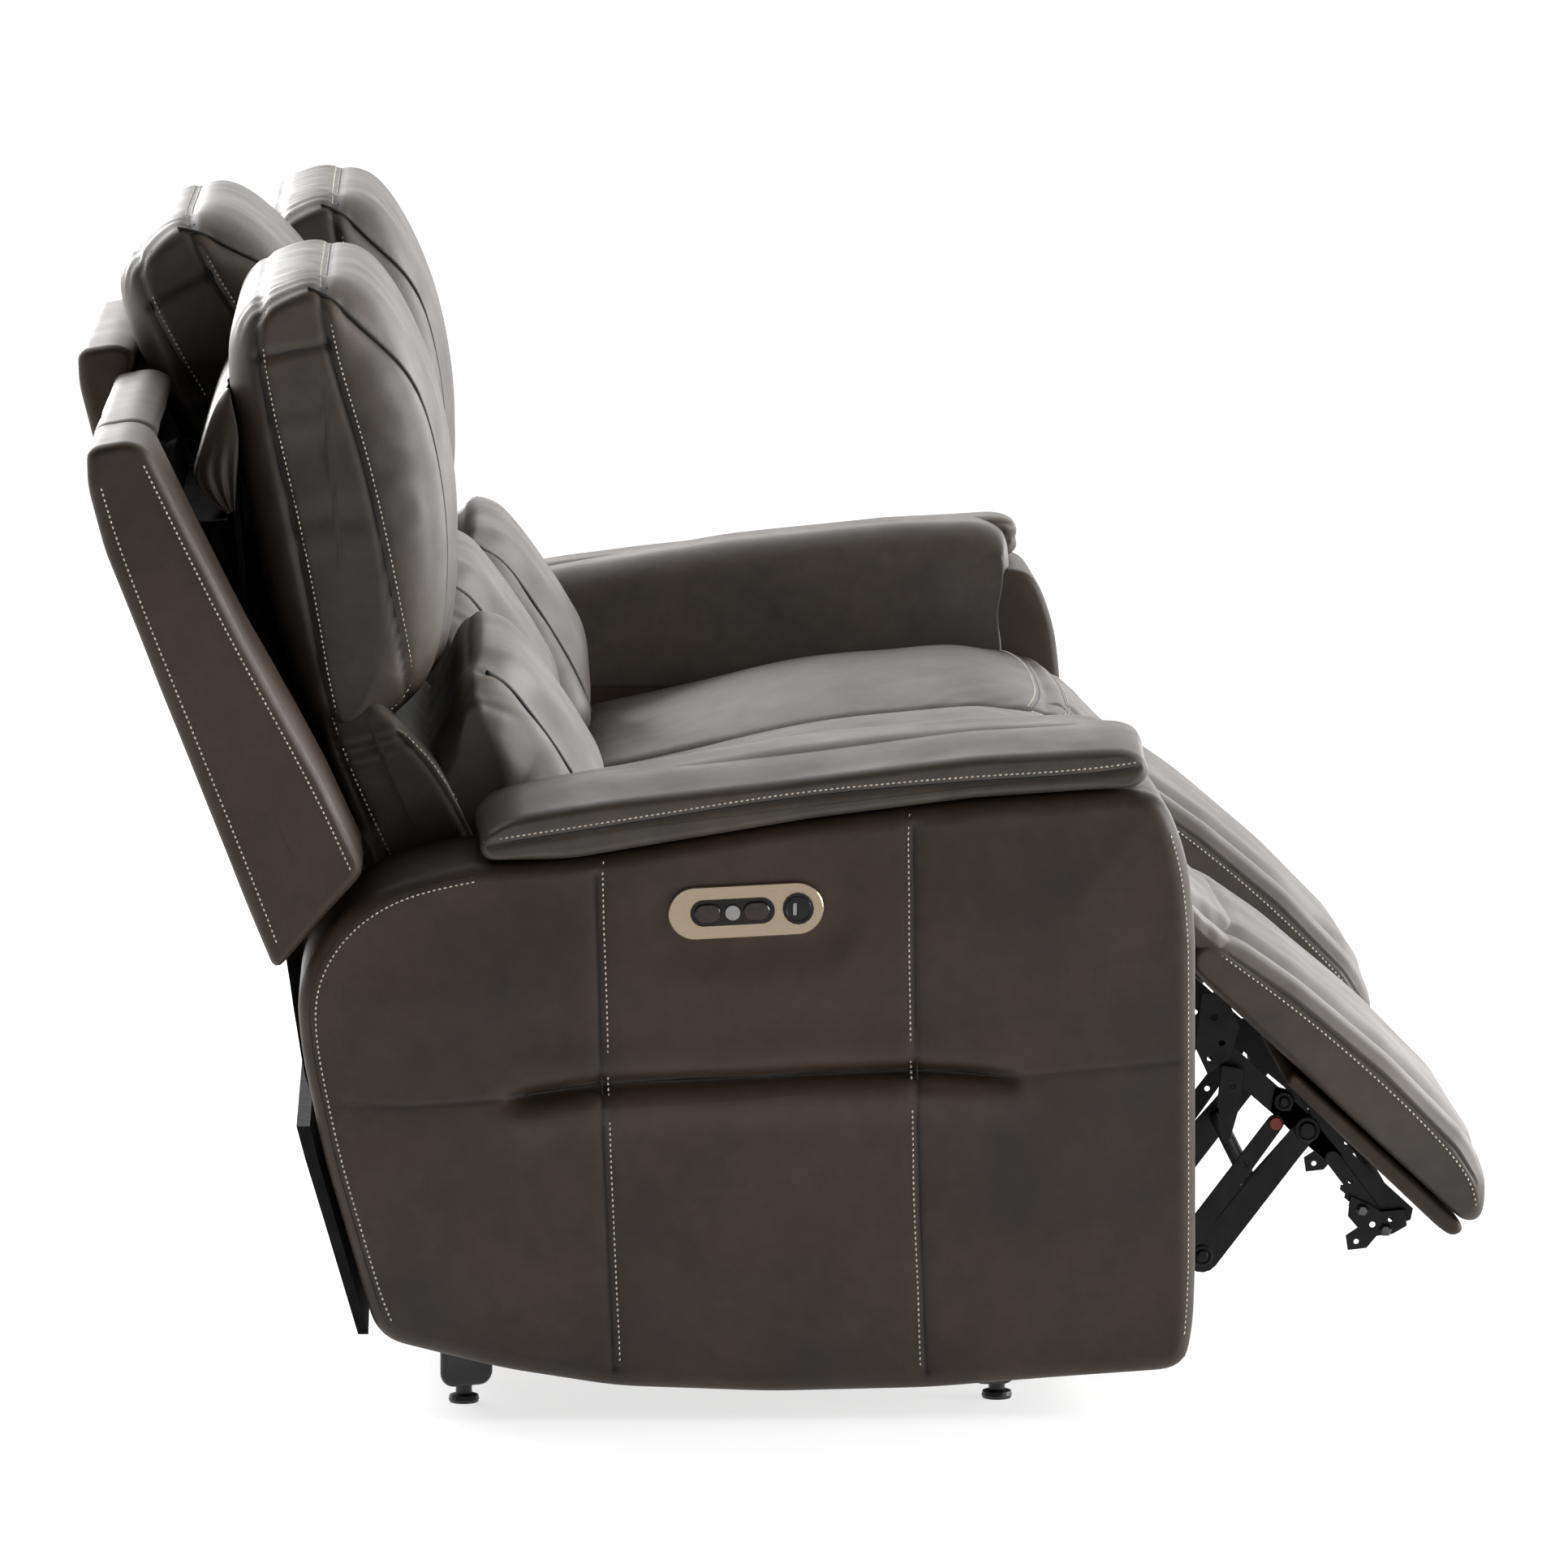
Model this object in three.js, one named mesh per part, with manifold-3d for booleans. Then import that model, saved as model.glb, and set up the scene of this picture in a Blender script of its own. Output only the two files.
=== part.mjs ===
// A three-seat power reclining sofa: two end seats that glide, recline and raise a
// footrest, a fixed middle seat, and an oval control plate on each arm.
// Millimetres, +Z up, seats face -Y. "right" and "left" are as a seated person sees them.
import * as THREE from 'three';
import { mergeVertices } from 'three/addons/utils/BufferGeometryUtils.js';
import Module from 'manifold-3d';

const wasm = await Module();
wasm.setup();

// Everything is drawn in the sofa's own side view: x forward, y up, z towards the right arm.

// Overall layout
const SEAT_PITCH = 557;
const ARM_WIDTH = 220;
const INNER_FACE = 1.5 * SEAT_PITCH;
const OUTER_FACE = INNER_FACE + ARM_WIDTH;
const CUSHION_HALF = SEAT_PITCH / 2 - 6.5;
const SOFT_EDGE = 14;
const LONG_SIDE = 95;
const CORNER_RUN = 22;
const DEPTH_SHIFT = -0.5;

// Back: a straight line leaning from a point behind the seat
const BACK_LEAN = 22;
const RECLINER_BACK = { x: -400, y: 430 };
const MIDDLE_BACK = { x: -438, y: 455 };
const HEAD_PIVOT = { x: 40, y: 300 };
const HEAD_TILT = 17;

// Footrest: hinged at the knee, half way open
const KNEE = { x: 395, y: 465 };
const FOOTREST_ANGLE = -42.4;
const LINK_PIVOT = { x: 291, y: 338 };
const LINK_ELBOW = { x: 426, y: 107 };
const BOARD_PIVOT = { x: 530, y: 234 };
const LINK_HALF_WIDTH = 12;
const LINK_THICKNESS = 5;
const BRACKET_INSET = 208.5;
const OUTER_LINK_INSET = 215;

// Control plate on the outside of each arm
const CONTROL = { x: -38, y: 499.5, slope: 2.7 };
const BEZEL = { length: 149, height: 51, thickness: 3.6 };
const INSERT = { x: -13, length: 81, height: 25, thickness: 1.5 };
const ROCKER = { length: 25, height: 18, thickness: 3.4, offsets: { recline: -37, headrest: 10 } };
const HOME_BUTTON = { x: -13, radius: 7.2, thickness: 3.4 };
const USB = { x: 50, radius: 15, thickness: 3, slot: [12, 4.6, 2.2] };
const BUTTON_GAP = 1.3;
const FACE_GAP = 0.4;

const FOOT_STATIONS = { rear: -310, front: 211 };
const FOOT_HEIGHTS = { rear: 55.7, front: 33.2 };
const MIDDLE_FLOOR = 60;

const MATERIALS = {
  leather: { color: 0x4b443d, roughness: 0.5, metalness: 0 },
  arm_leather: { color: 0x3f3933, roughness: 0.5, metalness: 0 },
  cloth: { color: 0x151517, roughness: 0.95, metalness: 0 },
  board: { color: 0x6b5138, roughness: 0.8, metalness: 0 },
  steel: { color: 0x1c1c1e, roughness: 0.45, metalness: 0.6 },
  plate: { color: 0xb9a68a, roughness: 0.32, metalness: 0.9 },
  panel: { color: 0x26262a, roughness: 0.3, metalness: 0 },
  button: { color: 0x4a4a4e, roughness: 0.25, metalness: 0 },
  foot: { color: 0x0f0f10, roughness: 0.7, metalness: 0 },
};

// ---------------------------------------------------------------- helpers

function outline(points) {
  return new THREE.Shape(points.map(([x, y]) => new THREE.Vector2(x, y)));
}

// A closed smooth curve through the points; long sides stay straight between their ends
function softOutline(points, samples) {
  const corners = [];
  points.forEach(([x, y], i) => {
    const [nextX, nextY] = points[(i + 1) % points.length];
    const length = Math.hypot(nextX - x, nextY - y);
    const stops = length > LONG_SIDE ? [0, CORNER_RUN / length, 0.5, 1 - CORNER_RUN / length] : [0];
    for (const t of stops) {
      corners.push(new THREE.Vector3(x + t * (nextX - x), y + t * (nextY - y), 0));
    }
  });
  const curve = new THREE.CatmullRomCurve3(corners, true, 'centripetal');
  const smooth = curve.getSpacedPoints(samples).slice(0, samples);
  return new THREE.Shape(smooth.map((p) => new THREE.Vector2(p.x, p.y)));
}

function stadium(length, height, x = 0) {
  const radius = height / 2;
  const half = length / 2 - radius;
  const shape = new THREE.Shape();
  shape.moveTo(x - half, -radius);
  shape.lineTo(x + half, -radius);
  shape.absarc(x + half, 0, radius, -Math.PI / 2, Math.PI / 2, false);
  shape.lineTo(x - half, radius);
  shape.absarc(x - half, 0, radius, Math.PI / 2, Math.PI * 1.5, false);
  return shape;
}

// Extrudes a side-view shape across the sofa between two z stations
function across(shape, from, to, edge = 0, segments = 3) {
  const [low, high] = [Math.min(from, to), Math.max(from, to)];
  const geometry = new THREE.ExtrudeGeometry(shape, {
    depth: high - low - 2 * edge,
    steps: 1,
    curveSegments: 10,
    bevelEnabled: edge > 0,
    bevelThickness: edge,
    bevelSize: edge,
    bevelOffset: -edge,
    bevelSegments: segments,
  });
  return geometry.translate(0, 0, low + edge);
}

function crossTube(x, y, radius, from, to) {
  const length = Math.abs(to - from);
  const tube = new THREE.CylinderGeometry(radius, radius, length, 16);
  tube.rotateX(Math.PI / 2);
  return tube.translate(x, y, (from + to) / 2);
}

function block(x0, x1, y0, y1, z0, z1) {
  const box = new THREE.BoxGeometry(x1 - x0, y1 - y0, z1 - z0);
  return box.translate((x0 + x1) / 2, (y0 + y1) / 2, (z0 + z1) / 2);
}

function toManifold(geometry) {
  let plain = geometry.clone();
  plain.deleteAttribute('normal');
  plain.deleteAttribute('uv');
  plain = mergeVertices(plain, 1e-4);
  const mesh = new wasm.Mesh({
    numProp: 3,
    vertProperties: new Float32Array(plain.attributes.position.array),
    triVerts: new Uint32Array(plain.index.array),
  });
  return new wasm.Manifold(mesh);
}

function fromManifold(solid) {
  const mesh = solid.getMesh();
  const geometry = new THREE.BufferGeometry();
  geometry.setAttribute('position', new THREE.BufferAttribute(mesh.vertProperties, 3));
  geometry.setIndex(new THREE.BufferAttribute(mesh.triVerts, 1));
  geometry.computeVertexNormals();
  return geometry;
}

function fuse(...geometries) {
  return fromManifold(geometries.map(toManifold).reduce((a, b) => a.add(b)));
}

function carve(geometry, ...tools) {
  return fromManifold(tools.map(toManifold).reduce((a, b) => a.subtract(b), toManifold(geometry)));
}

function piece(name, geometry, look) {
  const mesh = new THREE.Mesh(geometry, new THREE.MeshStandardMaterial(MATERIALS[look]));
  mesh.name = name;
  return mesh;
}

function groupAt(x, y, degrees = 0) {
  const group = new THREE.Group();
  group.position.set(x, y, 0);
  group.rotation.z = THREE.MathUtils.degToRad(degrees);
  return group;
}

// ---------------------------------------------------------------- arms and feet

const ARM_SIDE = [
  [-300, 545], [-379, 527], [-426, 496], [-453, 460], [-469, 421], [-464, 362], [-443, 259],
  [-393, 83], [-272, 52], [-163, 34], [-14, 27.5], [139, 30], [260, 39], [386, 47], [395, 86],
  [397, 150], [395, 475], [387, 546], [367, 601], [345, 613], [297, 612.5], [180, 605],
  [25, 586], [-208, 548],
];

const ARM_PAD_SIDE = [
  [-292, 549], [-208, 550], [25, 588], [180, 607], [297, 614.5], [336, 616], [350, 628],
  [345, 645], [327, 655], [186, 648], [29, 629], [-179, 605], [-262, 592], [-292, 574],
];

function arm(name, side) {
  const inner = side * (INNER_FACE + 1);
  const outer = side * OUTER_FACE;
  const overhang = 5;
  const pad = across(outline(ARM_PAD_SIDE), side * (INNER_FACE + 3), outer + side * overhang, SOFT_EDGE);
  return [
    piece(`${name}_arm`, across(outline(ARM_SIDE), inner, outer, 10, 2), 'arm_leather'),
    piece(`${name}_arm_pad`, pad, 'leather'),
  ];
}

function foot(name, x, top, z) {
  const flange = 5;
  const profile = [
    [0, 0], [14, 0], [15, 3], [14, 7], [8, 9], [8, top - flange], [21, top - flange], [21, top], [0, top],
  ];
  const points = profile.map(([r, y]) => new THREE.Vector2(r, y));
  const geometry = new THREE.LatheGeometry(points, 20);
  geometry.translate(x, 0, z);
  return piece(name, geometry, 'foot');
}

function feet() {
  const armCentre = INNER_FACE + ARM_WIDTH / 2;
  const rows = [
    ['right', armCentre],
    ['left', -armCentre],
  ];
  const made = [];
  for (const [side, z] of rows) {
    for (const end of ['rear', 'front']) {
      made.push(foot(`${side}_foot_${end}`, FOOT_STATIONS[end], FOOT_HEIGHTS[end], z));
    }
  }
  for (const end of ['rear', 'front']) {
    made.push(foot(`middle_foot_${end}`, FOOT_STATIONS[end], MIDDLE_FLOOR - 0.5, 0));
  }
  return made;
}

function rearPanel() {
  const shape = outline([
    [-457, 290], [-450, 259], [-432, 194], [-402, 86], [-412, 86], [-443, 194], [-462, 259], [-470, 290],
  ]);
  return piece('rear_dust_panel', across(shape, -OUTER_FACE + 16, OUTER_FACE - 16), 'cloth');
}

// ---------------------------------------------------------------- upholstery profiles

const SEAT_SIDE = [
  [-190, 388], [338, 388], [346, 434], [380, 434], [391, 446], [387, 480], [366, 507],
  [331, 518], [250, 521], [104, 508], [-152, 460], [-190, 450],
];

// Lower back cushion, in back coordinates (x forward of the back line, y along it)
const LUMBAR_SIDE = [
  [-9, 2], [120, -16], [200, -36], [240, -36], [253, -12], [250, 40], [241, 100], [230, 150],
  [214, 194], [198, 219], [186, 221], [164, 200], [124, 164], [82, 144], [40, 138], [-9, 147],
];

// Head cushion upright, about its pivot
const HEAD_SIDE = [
  [104, -94], [48, -97], [12, -78], [2, -20], [-20, 60], [-31, 150], [-31, 240], [-28, 300],
  [-12, 338], [22, 360], [65, 367], [104, 360], [130, 344], [150, 318], [166, 276], [174, 225],
  [175, 165], [173, 110], [167, 60], [157, 0], [140, -46], [124, -78],
];

const SHELL_WING = [
  [-78, 44], [38, 101], [34, 191], [16, 350], [7.4, 471], [2.4, 556], [-12, 570], [-52, 578],
  [-65, 543], [-73.5, 480], [-76, 330], [-78, 127],
];

const SHELL_SHEET = [
  [-78, 44], [-52, 44], [-50, 500], [-14, 534], [1.5, 545], [2.4, 556], [-12, 570], [-52, 578],
  [-65, 543], [-73.5, 480], [-76, 330], [-78, 127],
];

const MIDDLE_SHELL = [
  [-92, -125], [-36, -125], [-16, -20], [-16, 500], [-12, 530], [1.5, 545], [2.4, 556],
  [-12, 570], [-52, 578], [-65, 543], [-73.5, 480], [-76, 330], [-78, 60],
];

function cushion(name, side, centre, samples, edge = SOFT_EDGE) {
  const shape = softOutline(side, samples);
  return piece(name, across(shape, centre - CUSHION_HALF, centre + CUSHION_HALF, edge), 'leather');
}

// ---------------------------------------------------------------- middle seat

function middleSeat() {
  const half = CUSHION_HALF;
  const frame = outline([[-380, MIDDLE_FLOOR], [342, MIDDLE_FLOOR], [342, 384], [-300, 384], [-380, 350]]);
  const front = outline([[346, 62], [384, 62], [390, 72], [391, 404], [386, 409], [346, 409]]);
  const back = groupAt(MIDDLE_BACK.x, MIDDLE_BACK.y, BACK_LEAN);
  const head = groupAt(HEAD_PIVOT.x, HEAD_PIVOT.y);
  head.add(cushion('middle_head_cushion', HEAD_SIDE, 0, 40));
  back.add(
    piece('middle_back_shell', across(outline(MIDDLE_SHELL), -half, half), 'leather'),
    cushion('middle_back_cushion', LUMBAR_SIDE, 0, 34),
    head,
  );
  return [
    piece('middle_frame', across(frame, -half + 4, half - 4), 'board'),
    piece('middle_front_panel', across(front, -half, half), 'leather'),
    cushion('middle_seat_cushion', SEAT_SIDE, 0, 34),
    back,
  ];
}

// ---------------------------------------------------------------- recliner base and drive

function baseFrame(name, z) {
  const rail = 235;
  const reach = SEAT_PITCH / 2 - 1.5;
  const parts = [
    block(-330, 295, 30, 56, z - rail - 9, z - rail + 9),
    block(-330, 295, 30, 56, z + rail - 9, z + rail + 9),
    block(-262, -238, 33, 53, z - reach, z + reach),
  ];
  return piece(`${name}_base_frame`, fuse(...parts), 'steel');
}

function driveUnit(name, z) {
  const gearbox = block(-236, -150, 58, 150, z - 36, z + 36);
  const motor = crossTube(-193, 118, 27, z + 20, z + 118);
  const rail = block(-160, 190, 96, 120, z - 16, z + 16);
  return piece(`${name}_drive_unit`, fuse(gearbox, motor, rail), 'panel');
}

function driveSlider(name, z) {
  const nut = block(18, 84, 122, 164, z - 22, z + 22);
  const post = block(38, 64, 150, 351.5, z - 16, z + 16);
  return piece(`${name}_drive_slider`, fuse(nut, post), 'steel');
}

// ---------------------------------------------------------------- recliner seat and back

function seatFrame(name, z) {
  const half = CUSHION_HALF - 8;
  const ear = outline([[236, 356], [236, 330], [262, 318], [292, 323], [304, 335], [304, 356]]);
  const parts = [block(-250, 306, 352, 384, z - half, z + half)];
  for (const end of [-1, 1]) {
    parts.push(across(ear, z + end * 200, z + end * 206));
  }
  return piece(`${name}_seat_frame`, fuse(...parts), 'board');
}

function backShell(name, side, z) {
  const inner = z - side * CUSHION_HALF;
  const wingStart = side * (INNER_FACE + 3);
  const wingEnd = side * (OUTER_FACE - 6);
  const wing = across(outline(SHELL_WING), wingStart, wingEnd);
  const sheet = across(outline(SHELL_SHEET), inner, wingStart + side * 10);
  return piece(`${name}_back_shell`, fuse(wing, sheet), 'leather');
}

function reclinerBack(name, side, z) {
  const back = groupAt(RECLINER_BACK.x, RECLINER_BACK.y, BACK_LEAN);
  const head = groupAt(HEAD_PIVOT.x, HEAD_PIVOT.y, -HEAD_TILT);
  const frameHalf = 238;
  head.add(
    cushion(`${name}_head_cushion`, HEAD_SIDE, z, 40),
    piece(`${name}_head_bracket`, block(-49, -43, -4, 210, z - 70, z + 70), 'steel'),
  );
  back.add(
    backShell(name, side, z),
    piece(`${name}_back_frame`, block(-45, -14, -242, 495, z - frameHalf, z + frameHalf), 'board'),
    cushion(`${name}_lumbar_cushion`, LUMBAR_SIDE, z, 34),
    head,
  );
  return back;
}

// ---------------------------------------------------------------- footrest and its linkage

// Footrest profiles run along the pad (x) and out of its top face (y), from the knee pivot
const PAD_SIDE = [
  [38, -14], [60, 4], [150, 16], [265, 20], [369, 14], [414, 1], [432, -16], [436, -30],
  [426, -41], [300, -40], [180, -38], [70, -38], [46, -34],
];

const BOARD_SIDE = [[92, -46], [426, -46], [431, -54], [424, -65], [96, -62]];

const BRACKET_SIDE = [
  [100, -68], [390, -68], [396, -78], [388, -91], [250, -91], [150, -93], [126, -93], [106, -78],
];

function linkBar(from, to, z0, z1) {
  const length = Math.hypot(to.x - from.x, to.y - from.y);
  const angle = Math.atan2(to.y - from.y, to.x - from.x);
  const bar = across(stadium(length + 2 * LINK_HALF_WIDTH, 2 * LINK_HALF_WIDTH, length / 2), z0, z1);
  return bar.rotateZ(angle).translate(from.x, from.y, 0);
}

// Two bars and the tube that ties them, seen as one welded frame
function linkFrame(name, z, from, to, inset, tieAt) {
  const tie = {
    x: from.x + tieAt * (to.x - from.x),
    y: from.y + tieAt * (to.y - from.y),
  };
  const reach = inset + 1;
  const parts = [crossTube(tie.x, tie.y, 8, z - reach, z + reach)];
  for (const end of [-1, 1]) {
    parts.push(linkBar(from, to, z + end * inset, z + end * (inset + LINK_THICKNESS)));
  }
  return piece(name, fuse(...parts), 'steel');
}

function footrest(name, z) {
  const group = groupAt(KNEE.x, KNEE.y, FOOTREST_ANGLE);
  const half = CUSHION_HALF;
  const bars = [block(326, 352, -72, -68, z - BRACKET_INSET - 1, z + BRACKET_INSET + 1)];
  for (const end of [-1, 1]) {
    const inner = z + end * BRACKET_INSET;
    bars.push(across(outline(BRACKET_SIDE), inner, inner + end * LINK_THICKNESS));
  }
  group.add(
    cushion(`${name}_footrest_pad`, PAD_SIDE, z, 34, 10),
    piece(`${name}_footrest_board`, across(outline(BOARD_SIDE), z - half + 14, z + half - 14, 4, 1), 'leather'),
    piece(`${name}_footrest_bracket`, fuse(...bars), 'steel'),
  );
  return group;
}

// ---------------------------------------------------------------- control plate

function controls(name, side) {
  const group = groupAt(CONTROL.x, CONTROL.y, CONTROL.slope);
  const face = (depth) => side * (OUTER_FACE + depth);
  const bezelTop = FACE_GAP + BEZEL.thickness;
  const insertTop = bezelTop + FACE_GAP + INSERT.thickness;
  const buttonBase = insertTop + BUTTON_GAP;
  const bezel = across(stadium(BEZEL.length, BEZEL.height), face(FACE_GAP), face(bezelTop), 1, 1);
  const insertShape = stadium(INSERT.length, INSERT.height, INSERT.x);
  const insert = across(insertShape, face(bezelTop + FACE_GAP), face(insertTop));
  group.add(
    piece(`${name}_control_bezel`, bezel, 'plate'),
    piece(`${name}_control_insert`, insert, 'panel'),
  );
  for (const [use, x] of Object.entries(ROCKER.offsets)) {
    const top = buttonBase + ROCKER.thickness;
    const rocker = across(stadium(ROCKER.length, ROCKER.height, x), face(buttonBase), face(top), 0.8, 1);
    group.add(piece(`${name}_${use}_rocker`, rocker, 'button'));
  }
  const homeEnds = [face(buttonBase), face(buttonBase + HOME_BUTTON.thickness)];
  const home = crossTube(HOME_BUTTON.x, 0, HOME_BUTTON.radius, ...homeEnds);
  group.add(piece(`${name}_home_button`, home, 'button'));
  group.add(usbPort(name, side, face(bezelTop + FACE_GAP), face(bezelTop + FACE_GAP + USB.thickness)));
  return group;
}

function usbPort(name, side, from, to) {
  const [width, height, depth] = USB.slot;
  const body = crossTube(USB.x, 0, USB.radius, from, to);
  const mouth = block(USB.x - width / 2, USB.x + width / 2, -height / 2, height / 2, -depth, depth);
  mouth.translate(0, 0, to);
  return piece(`${name}_usb_port`, carve(body, mouth), 'panel');
}

// ---------------------------------------------------------------- assembly

function recliner(name, side) {
  const z = side * SEAT_PITCH;
  return [
    ...arm(name, side),
    controls(name, side),
    baseFrame(name, z),
    driveUnit(name, z),
    driveSlider(name, z),
    seatFrame(name, z),
    cushion(`${name}_seat_cushion`, SEAT_SIDE, z, 34),
    reclinerBack(name, side, z),
    footrest(name, z),
    linkFrame(`${name}_lower_links`, z, LINK_PIVOT, LINK_ELBOW, BRACKET_INSET, 0.6),
    linkFrame(`${name}_ottoman_links`, z, LINK_ELBOW, BOARD_PIVOT, OUTER_LINK_INSET, 0.5),
  ];
}

const sofa = new THREE.Group();
sofa.name = 'reclining_sofa';
sofa.add(
  ...recliner('right', 1),
  ...recliner('left', -1),
  ...middleSeat(),
  ...feet(),
  rearPanel(),
);
const sideView = new THREE.Matrix4().makeBasis(
  new THREE.Vector3(0, -1, 0),
  new THREE.Vector3(0, 0, 1),
  new THREE.Vector3(-1, 0, 0),
);
sofa.applyMatrix4(sideView);
sofa.position.y = -DEPTH_SHIFT;

export default sofa;
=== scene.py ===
"""Power reclining sofa: upholstery, stitching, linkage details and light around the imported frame."""

import math

import bmesh
import bpy
import numpy as np
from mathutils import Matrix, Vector
from mathutils.bvhtree import BVHTree


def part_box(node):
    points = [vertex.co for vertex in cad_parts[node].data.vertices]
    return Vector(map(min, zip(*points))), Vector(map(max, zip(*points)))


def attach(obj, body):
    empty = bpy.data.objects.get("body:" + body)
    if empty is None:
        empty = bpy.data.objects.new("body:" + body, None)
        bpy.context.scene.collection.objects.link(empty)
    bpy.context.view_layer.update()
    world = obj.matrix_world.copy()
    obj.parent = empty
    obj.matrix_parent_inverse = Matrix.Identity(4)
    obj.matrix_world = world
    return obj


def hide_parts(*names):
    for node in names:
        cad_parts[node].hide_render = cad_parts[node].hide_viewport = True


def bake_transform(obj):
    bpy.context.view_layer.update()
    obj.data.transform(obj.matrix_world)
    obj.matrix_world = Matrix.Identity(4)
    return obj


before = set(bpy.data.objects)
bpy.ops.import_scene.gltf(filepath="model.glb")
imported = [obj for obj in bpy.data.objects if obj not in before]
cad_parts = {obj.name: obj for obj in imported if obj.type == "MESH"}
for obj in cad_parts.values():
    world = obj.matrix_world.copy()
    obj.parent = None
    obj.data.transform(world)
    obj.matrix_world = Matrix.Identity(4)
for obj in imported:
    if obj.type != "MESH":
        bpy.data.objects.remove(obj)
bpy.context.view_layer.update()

# Shapes are drawn in the side view, in millimetres: x forward, y up, s towards the right arm.
ROW_SHIFT = 0.5
SEAT_PITCH = 557.0
HALF = 272.0
INNER_FACE = 835.5
OUTER_FACE = 1055.5
SIDES = (("right", 1), ("left", -1))

# Places that part.mjs uses too
BACK_LEAN = 22.0
RECLINER_BACK = (-400.0, 430.0)
MIDDLE_BACK = (-438.0, 455.0)
HEAD_PIVOT = (40.0, 300.0)
HEAD_TILT = 17.0
KNEE = (395.0, 465.0)
FOOTREST_ANGLE = -42.4
LINK_ELBOW = (426.0, 107.0)
BOARD_PIVOT = (530.0, 234.0)

# How finely curves are drawn
FILLET_POINTS = 6
CIRCLE_POINTS = 20
STRAP_END_POINTS = 9
HOT_STEPS = (-9.0, -6.0, -3.6, -1.8, 0.0, 1.8, 3.6, 6.0, 9.0)

# Seam work, in millimetres; a line is thrown at a surface from THROW metres away
THROW = 0.06
TRACE_STEP = 4.0
STITCH_PITCH = 5.4
STITCH_LENGTH = 3.7
STITCH_END = 0.9
STITCH_RADIUS = 0.8
STITCH_LIFT = 0.45

SHEET_THICKNESS = 0.0012


# ---------------------------------------------------------------- frames and small maths

class Plane:
    """A drawing plane in the side view: an origin and a turn, inside another plane."""

    def __init__(self, origin=(0.0, 0.0), degrees=0.0, inside=None):
        angle = math.radians(degrees)
        self.origin = np.array(origin, float)
        self.turn = np.array([[math.cos(angle), -math.sin(angle)], [math.sin(angle), math.cos(angle)]])
        self.inside = inside

    def out(self, points):
        """Points (..., 2) or (..., 3) of this plane in the side view."""
        points = np.array(points, float)
        flat = points[..., :2] @ self.turn.T + self.origin
        placed = np.concatenate([flat, points[..., 2:]], axis=-1)
        return placed if self.inside is None else self.inside.out(placed)


SIDE = Plane()
BACK = Plane(RECLINER_BACK, BACK_LEAN)
MID_BACK = Plane(MIDDLE_BACK, BACK_LEAN)
HEAD = Plane(HEAD_PIVOT, -HEAD_TILT, BACK)
MID_HEAD = Plane(HEAD_PIVOT, 0.0, MID_BACK)
REST = Plane(KNEE, FOOTREST_ANGLE)


def row(points):
    """Side-view points (x, y, s) in the row frame, in metres."""
    points = np.asarray(points, float)
    placed = np.stack([-points[..., 2], ROW_SHIFT - points[..., 0], points[..., 1]], axis=-1)
    return placed * 0.001


def smoothstep(low, high, value):
    t = np.clip((value - low) / (high - low), 0.0, 1.0)
    return t * t * (3.0 - 2.0 * t)


def noise(points, size, seed=0):
    """Smooth value noise from -1 to 1 at points (..., 3); size is its cell, one number or three."""
    q = np.asarray(points, float) / np.asarray(size, float) + seed * 19.37
    cell = np.floor(q).astype(np.int64)
    t = q - cell
    t = t * t * (3.0 - 2.0 * t)
    total = np.zeros(q.shape[:-1])
    for corner in range(8):
        step = np.array([corner & 1, corner >> 1 & 1, corner >> 2 & 1])
        c = cell + step
        mixed = (c[..., 0] * 374761393 + c[..., 1] * 668265263 + c[..., 2] * 2147483647 + seed * 974634777)
        mixed = (mixed ^ (mixed >> 13)) * 1274126177 & 0x7FFFFFFF
        mixed = (mixed ^ (mixed >> 16)) & 0xFFFFFF
        weight = np.prod(np.where(step == 1, t, 1.0 - t), axis=-1)
        total += weight * (mixed / 8388607.5 - 1.0)
    return total


def segment_distance(points, line):
    """Distance of points (..., 2) to an open polyline."""
    points = np.asarray(points, float)
    best = np.full(points.shape[:-1], 1e9)
    for a, b in zip(line[:-1], line[1:]):
        a, b = np.array(a, float), np.array(b, float)
        along = b - a
        t = np.clip(((points - a) @ along) / (along @ along), 0.0, 1.0)
        best = np.minimum(best, np.linalg.norm(points - a - t[..., None] * along, axis=-1))
    return best


def fillet(points, radius):
    """A closed outline with its corners rounded."""
    points = np.array(points, float)
    made = []
    for k, corner in enumerate(points):
        ends = []
        for other in (points[k - 1], points[(k + 1) % len(points)]):
            reach = np.linalg.norm(other - corner)
            ends.append(corner + (other - corner) / reach * min(radius, 0.48 * reach))
        for t in np.linspace(0.0, 1.0, FILLET_POINTS):
            made.append((1 - t) ** 2 * ends[0] + 2 * t * (1 - t) * corner + t * t * ends[1])
    return np.array(made)


def soft(points, rounds=3):
    """A closed outline with its corners cut until it is a smooth curve."""
    points = np.array(points, float)
    for _ in range(rounds):
        after = np.roll(points, -1, axis=0)
        early = 0.75 * points + 0.25 * after
        late = 0.25 * points + 0.75 * after
        points = np.stack([early, late], axis=1).reshape(-1, 2)
    return points


def resample(points, count, closed=True):
    """Evenly spaced points along a polyline."""
    points = np.array(points, float)
    if closed:
        points = np.vstack([points, points[:1]])
    steps = np.linalg.norm(np.diff(points, axis=0), axis=1)
    arc = np.concatenate([[0.0], np.cumsum(steps)])
    wanted = np.linspace(0.0, arc[-1], count + 1)[:-1] if closed else np.linspace(0.0, arc[-1], count)
    return np.stack([np.interp(wanted, arc, points[:, k]) for k in range(points.shape[1])], axis=-1)


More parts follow.
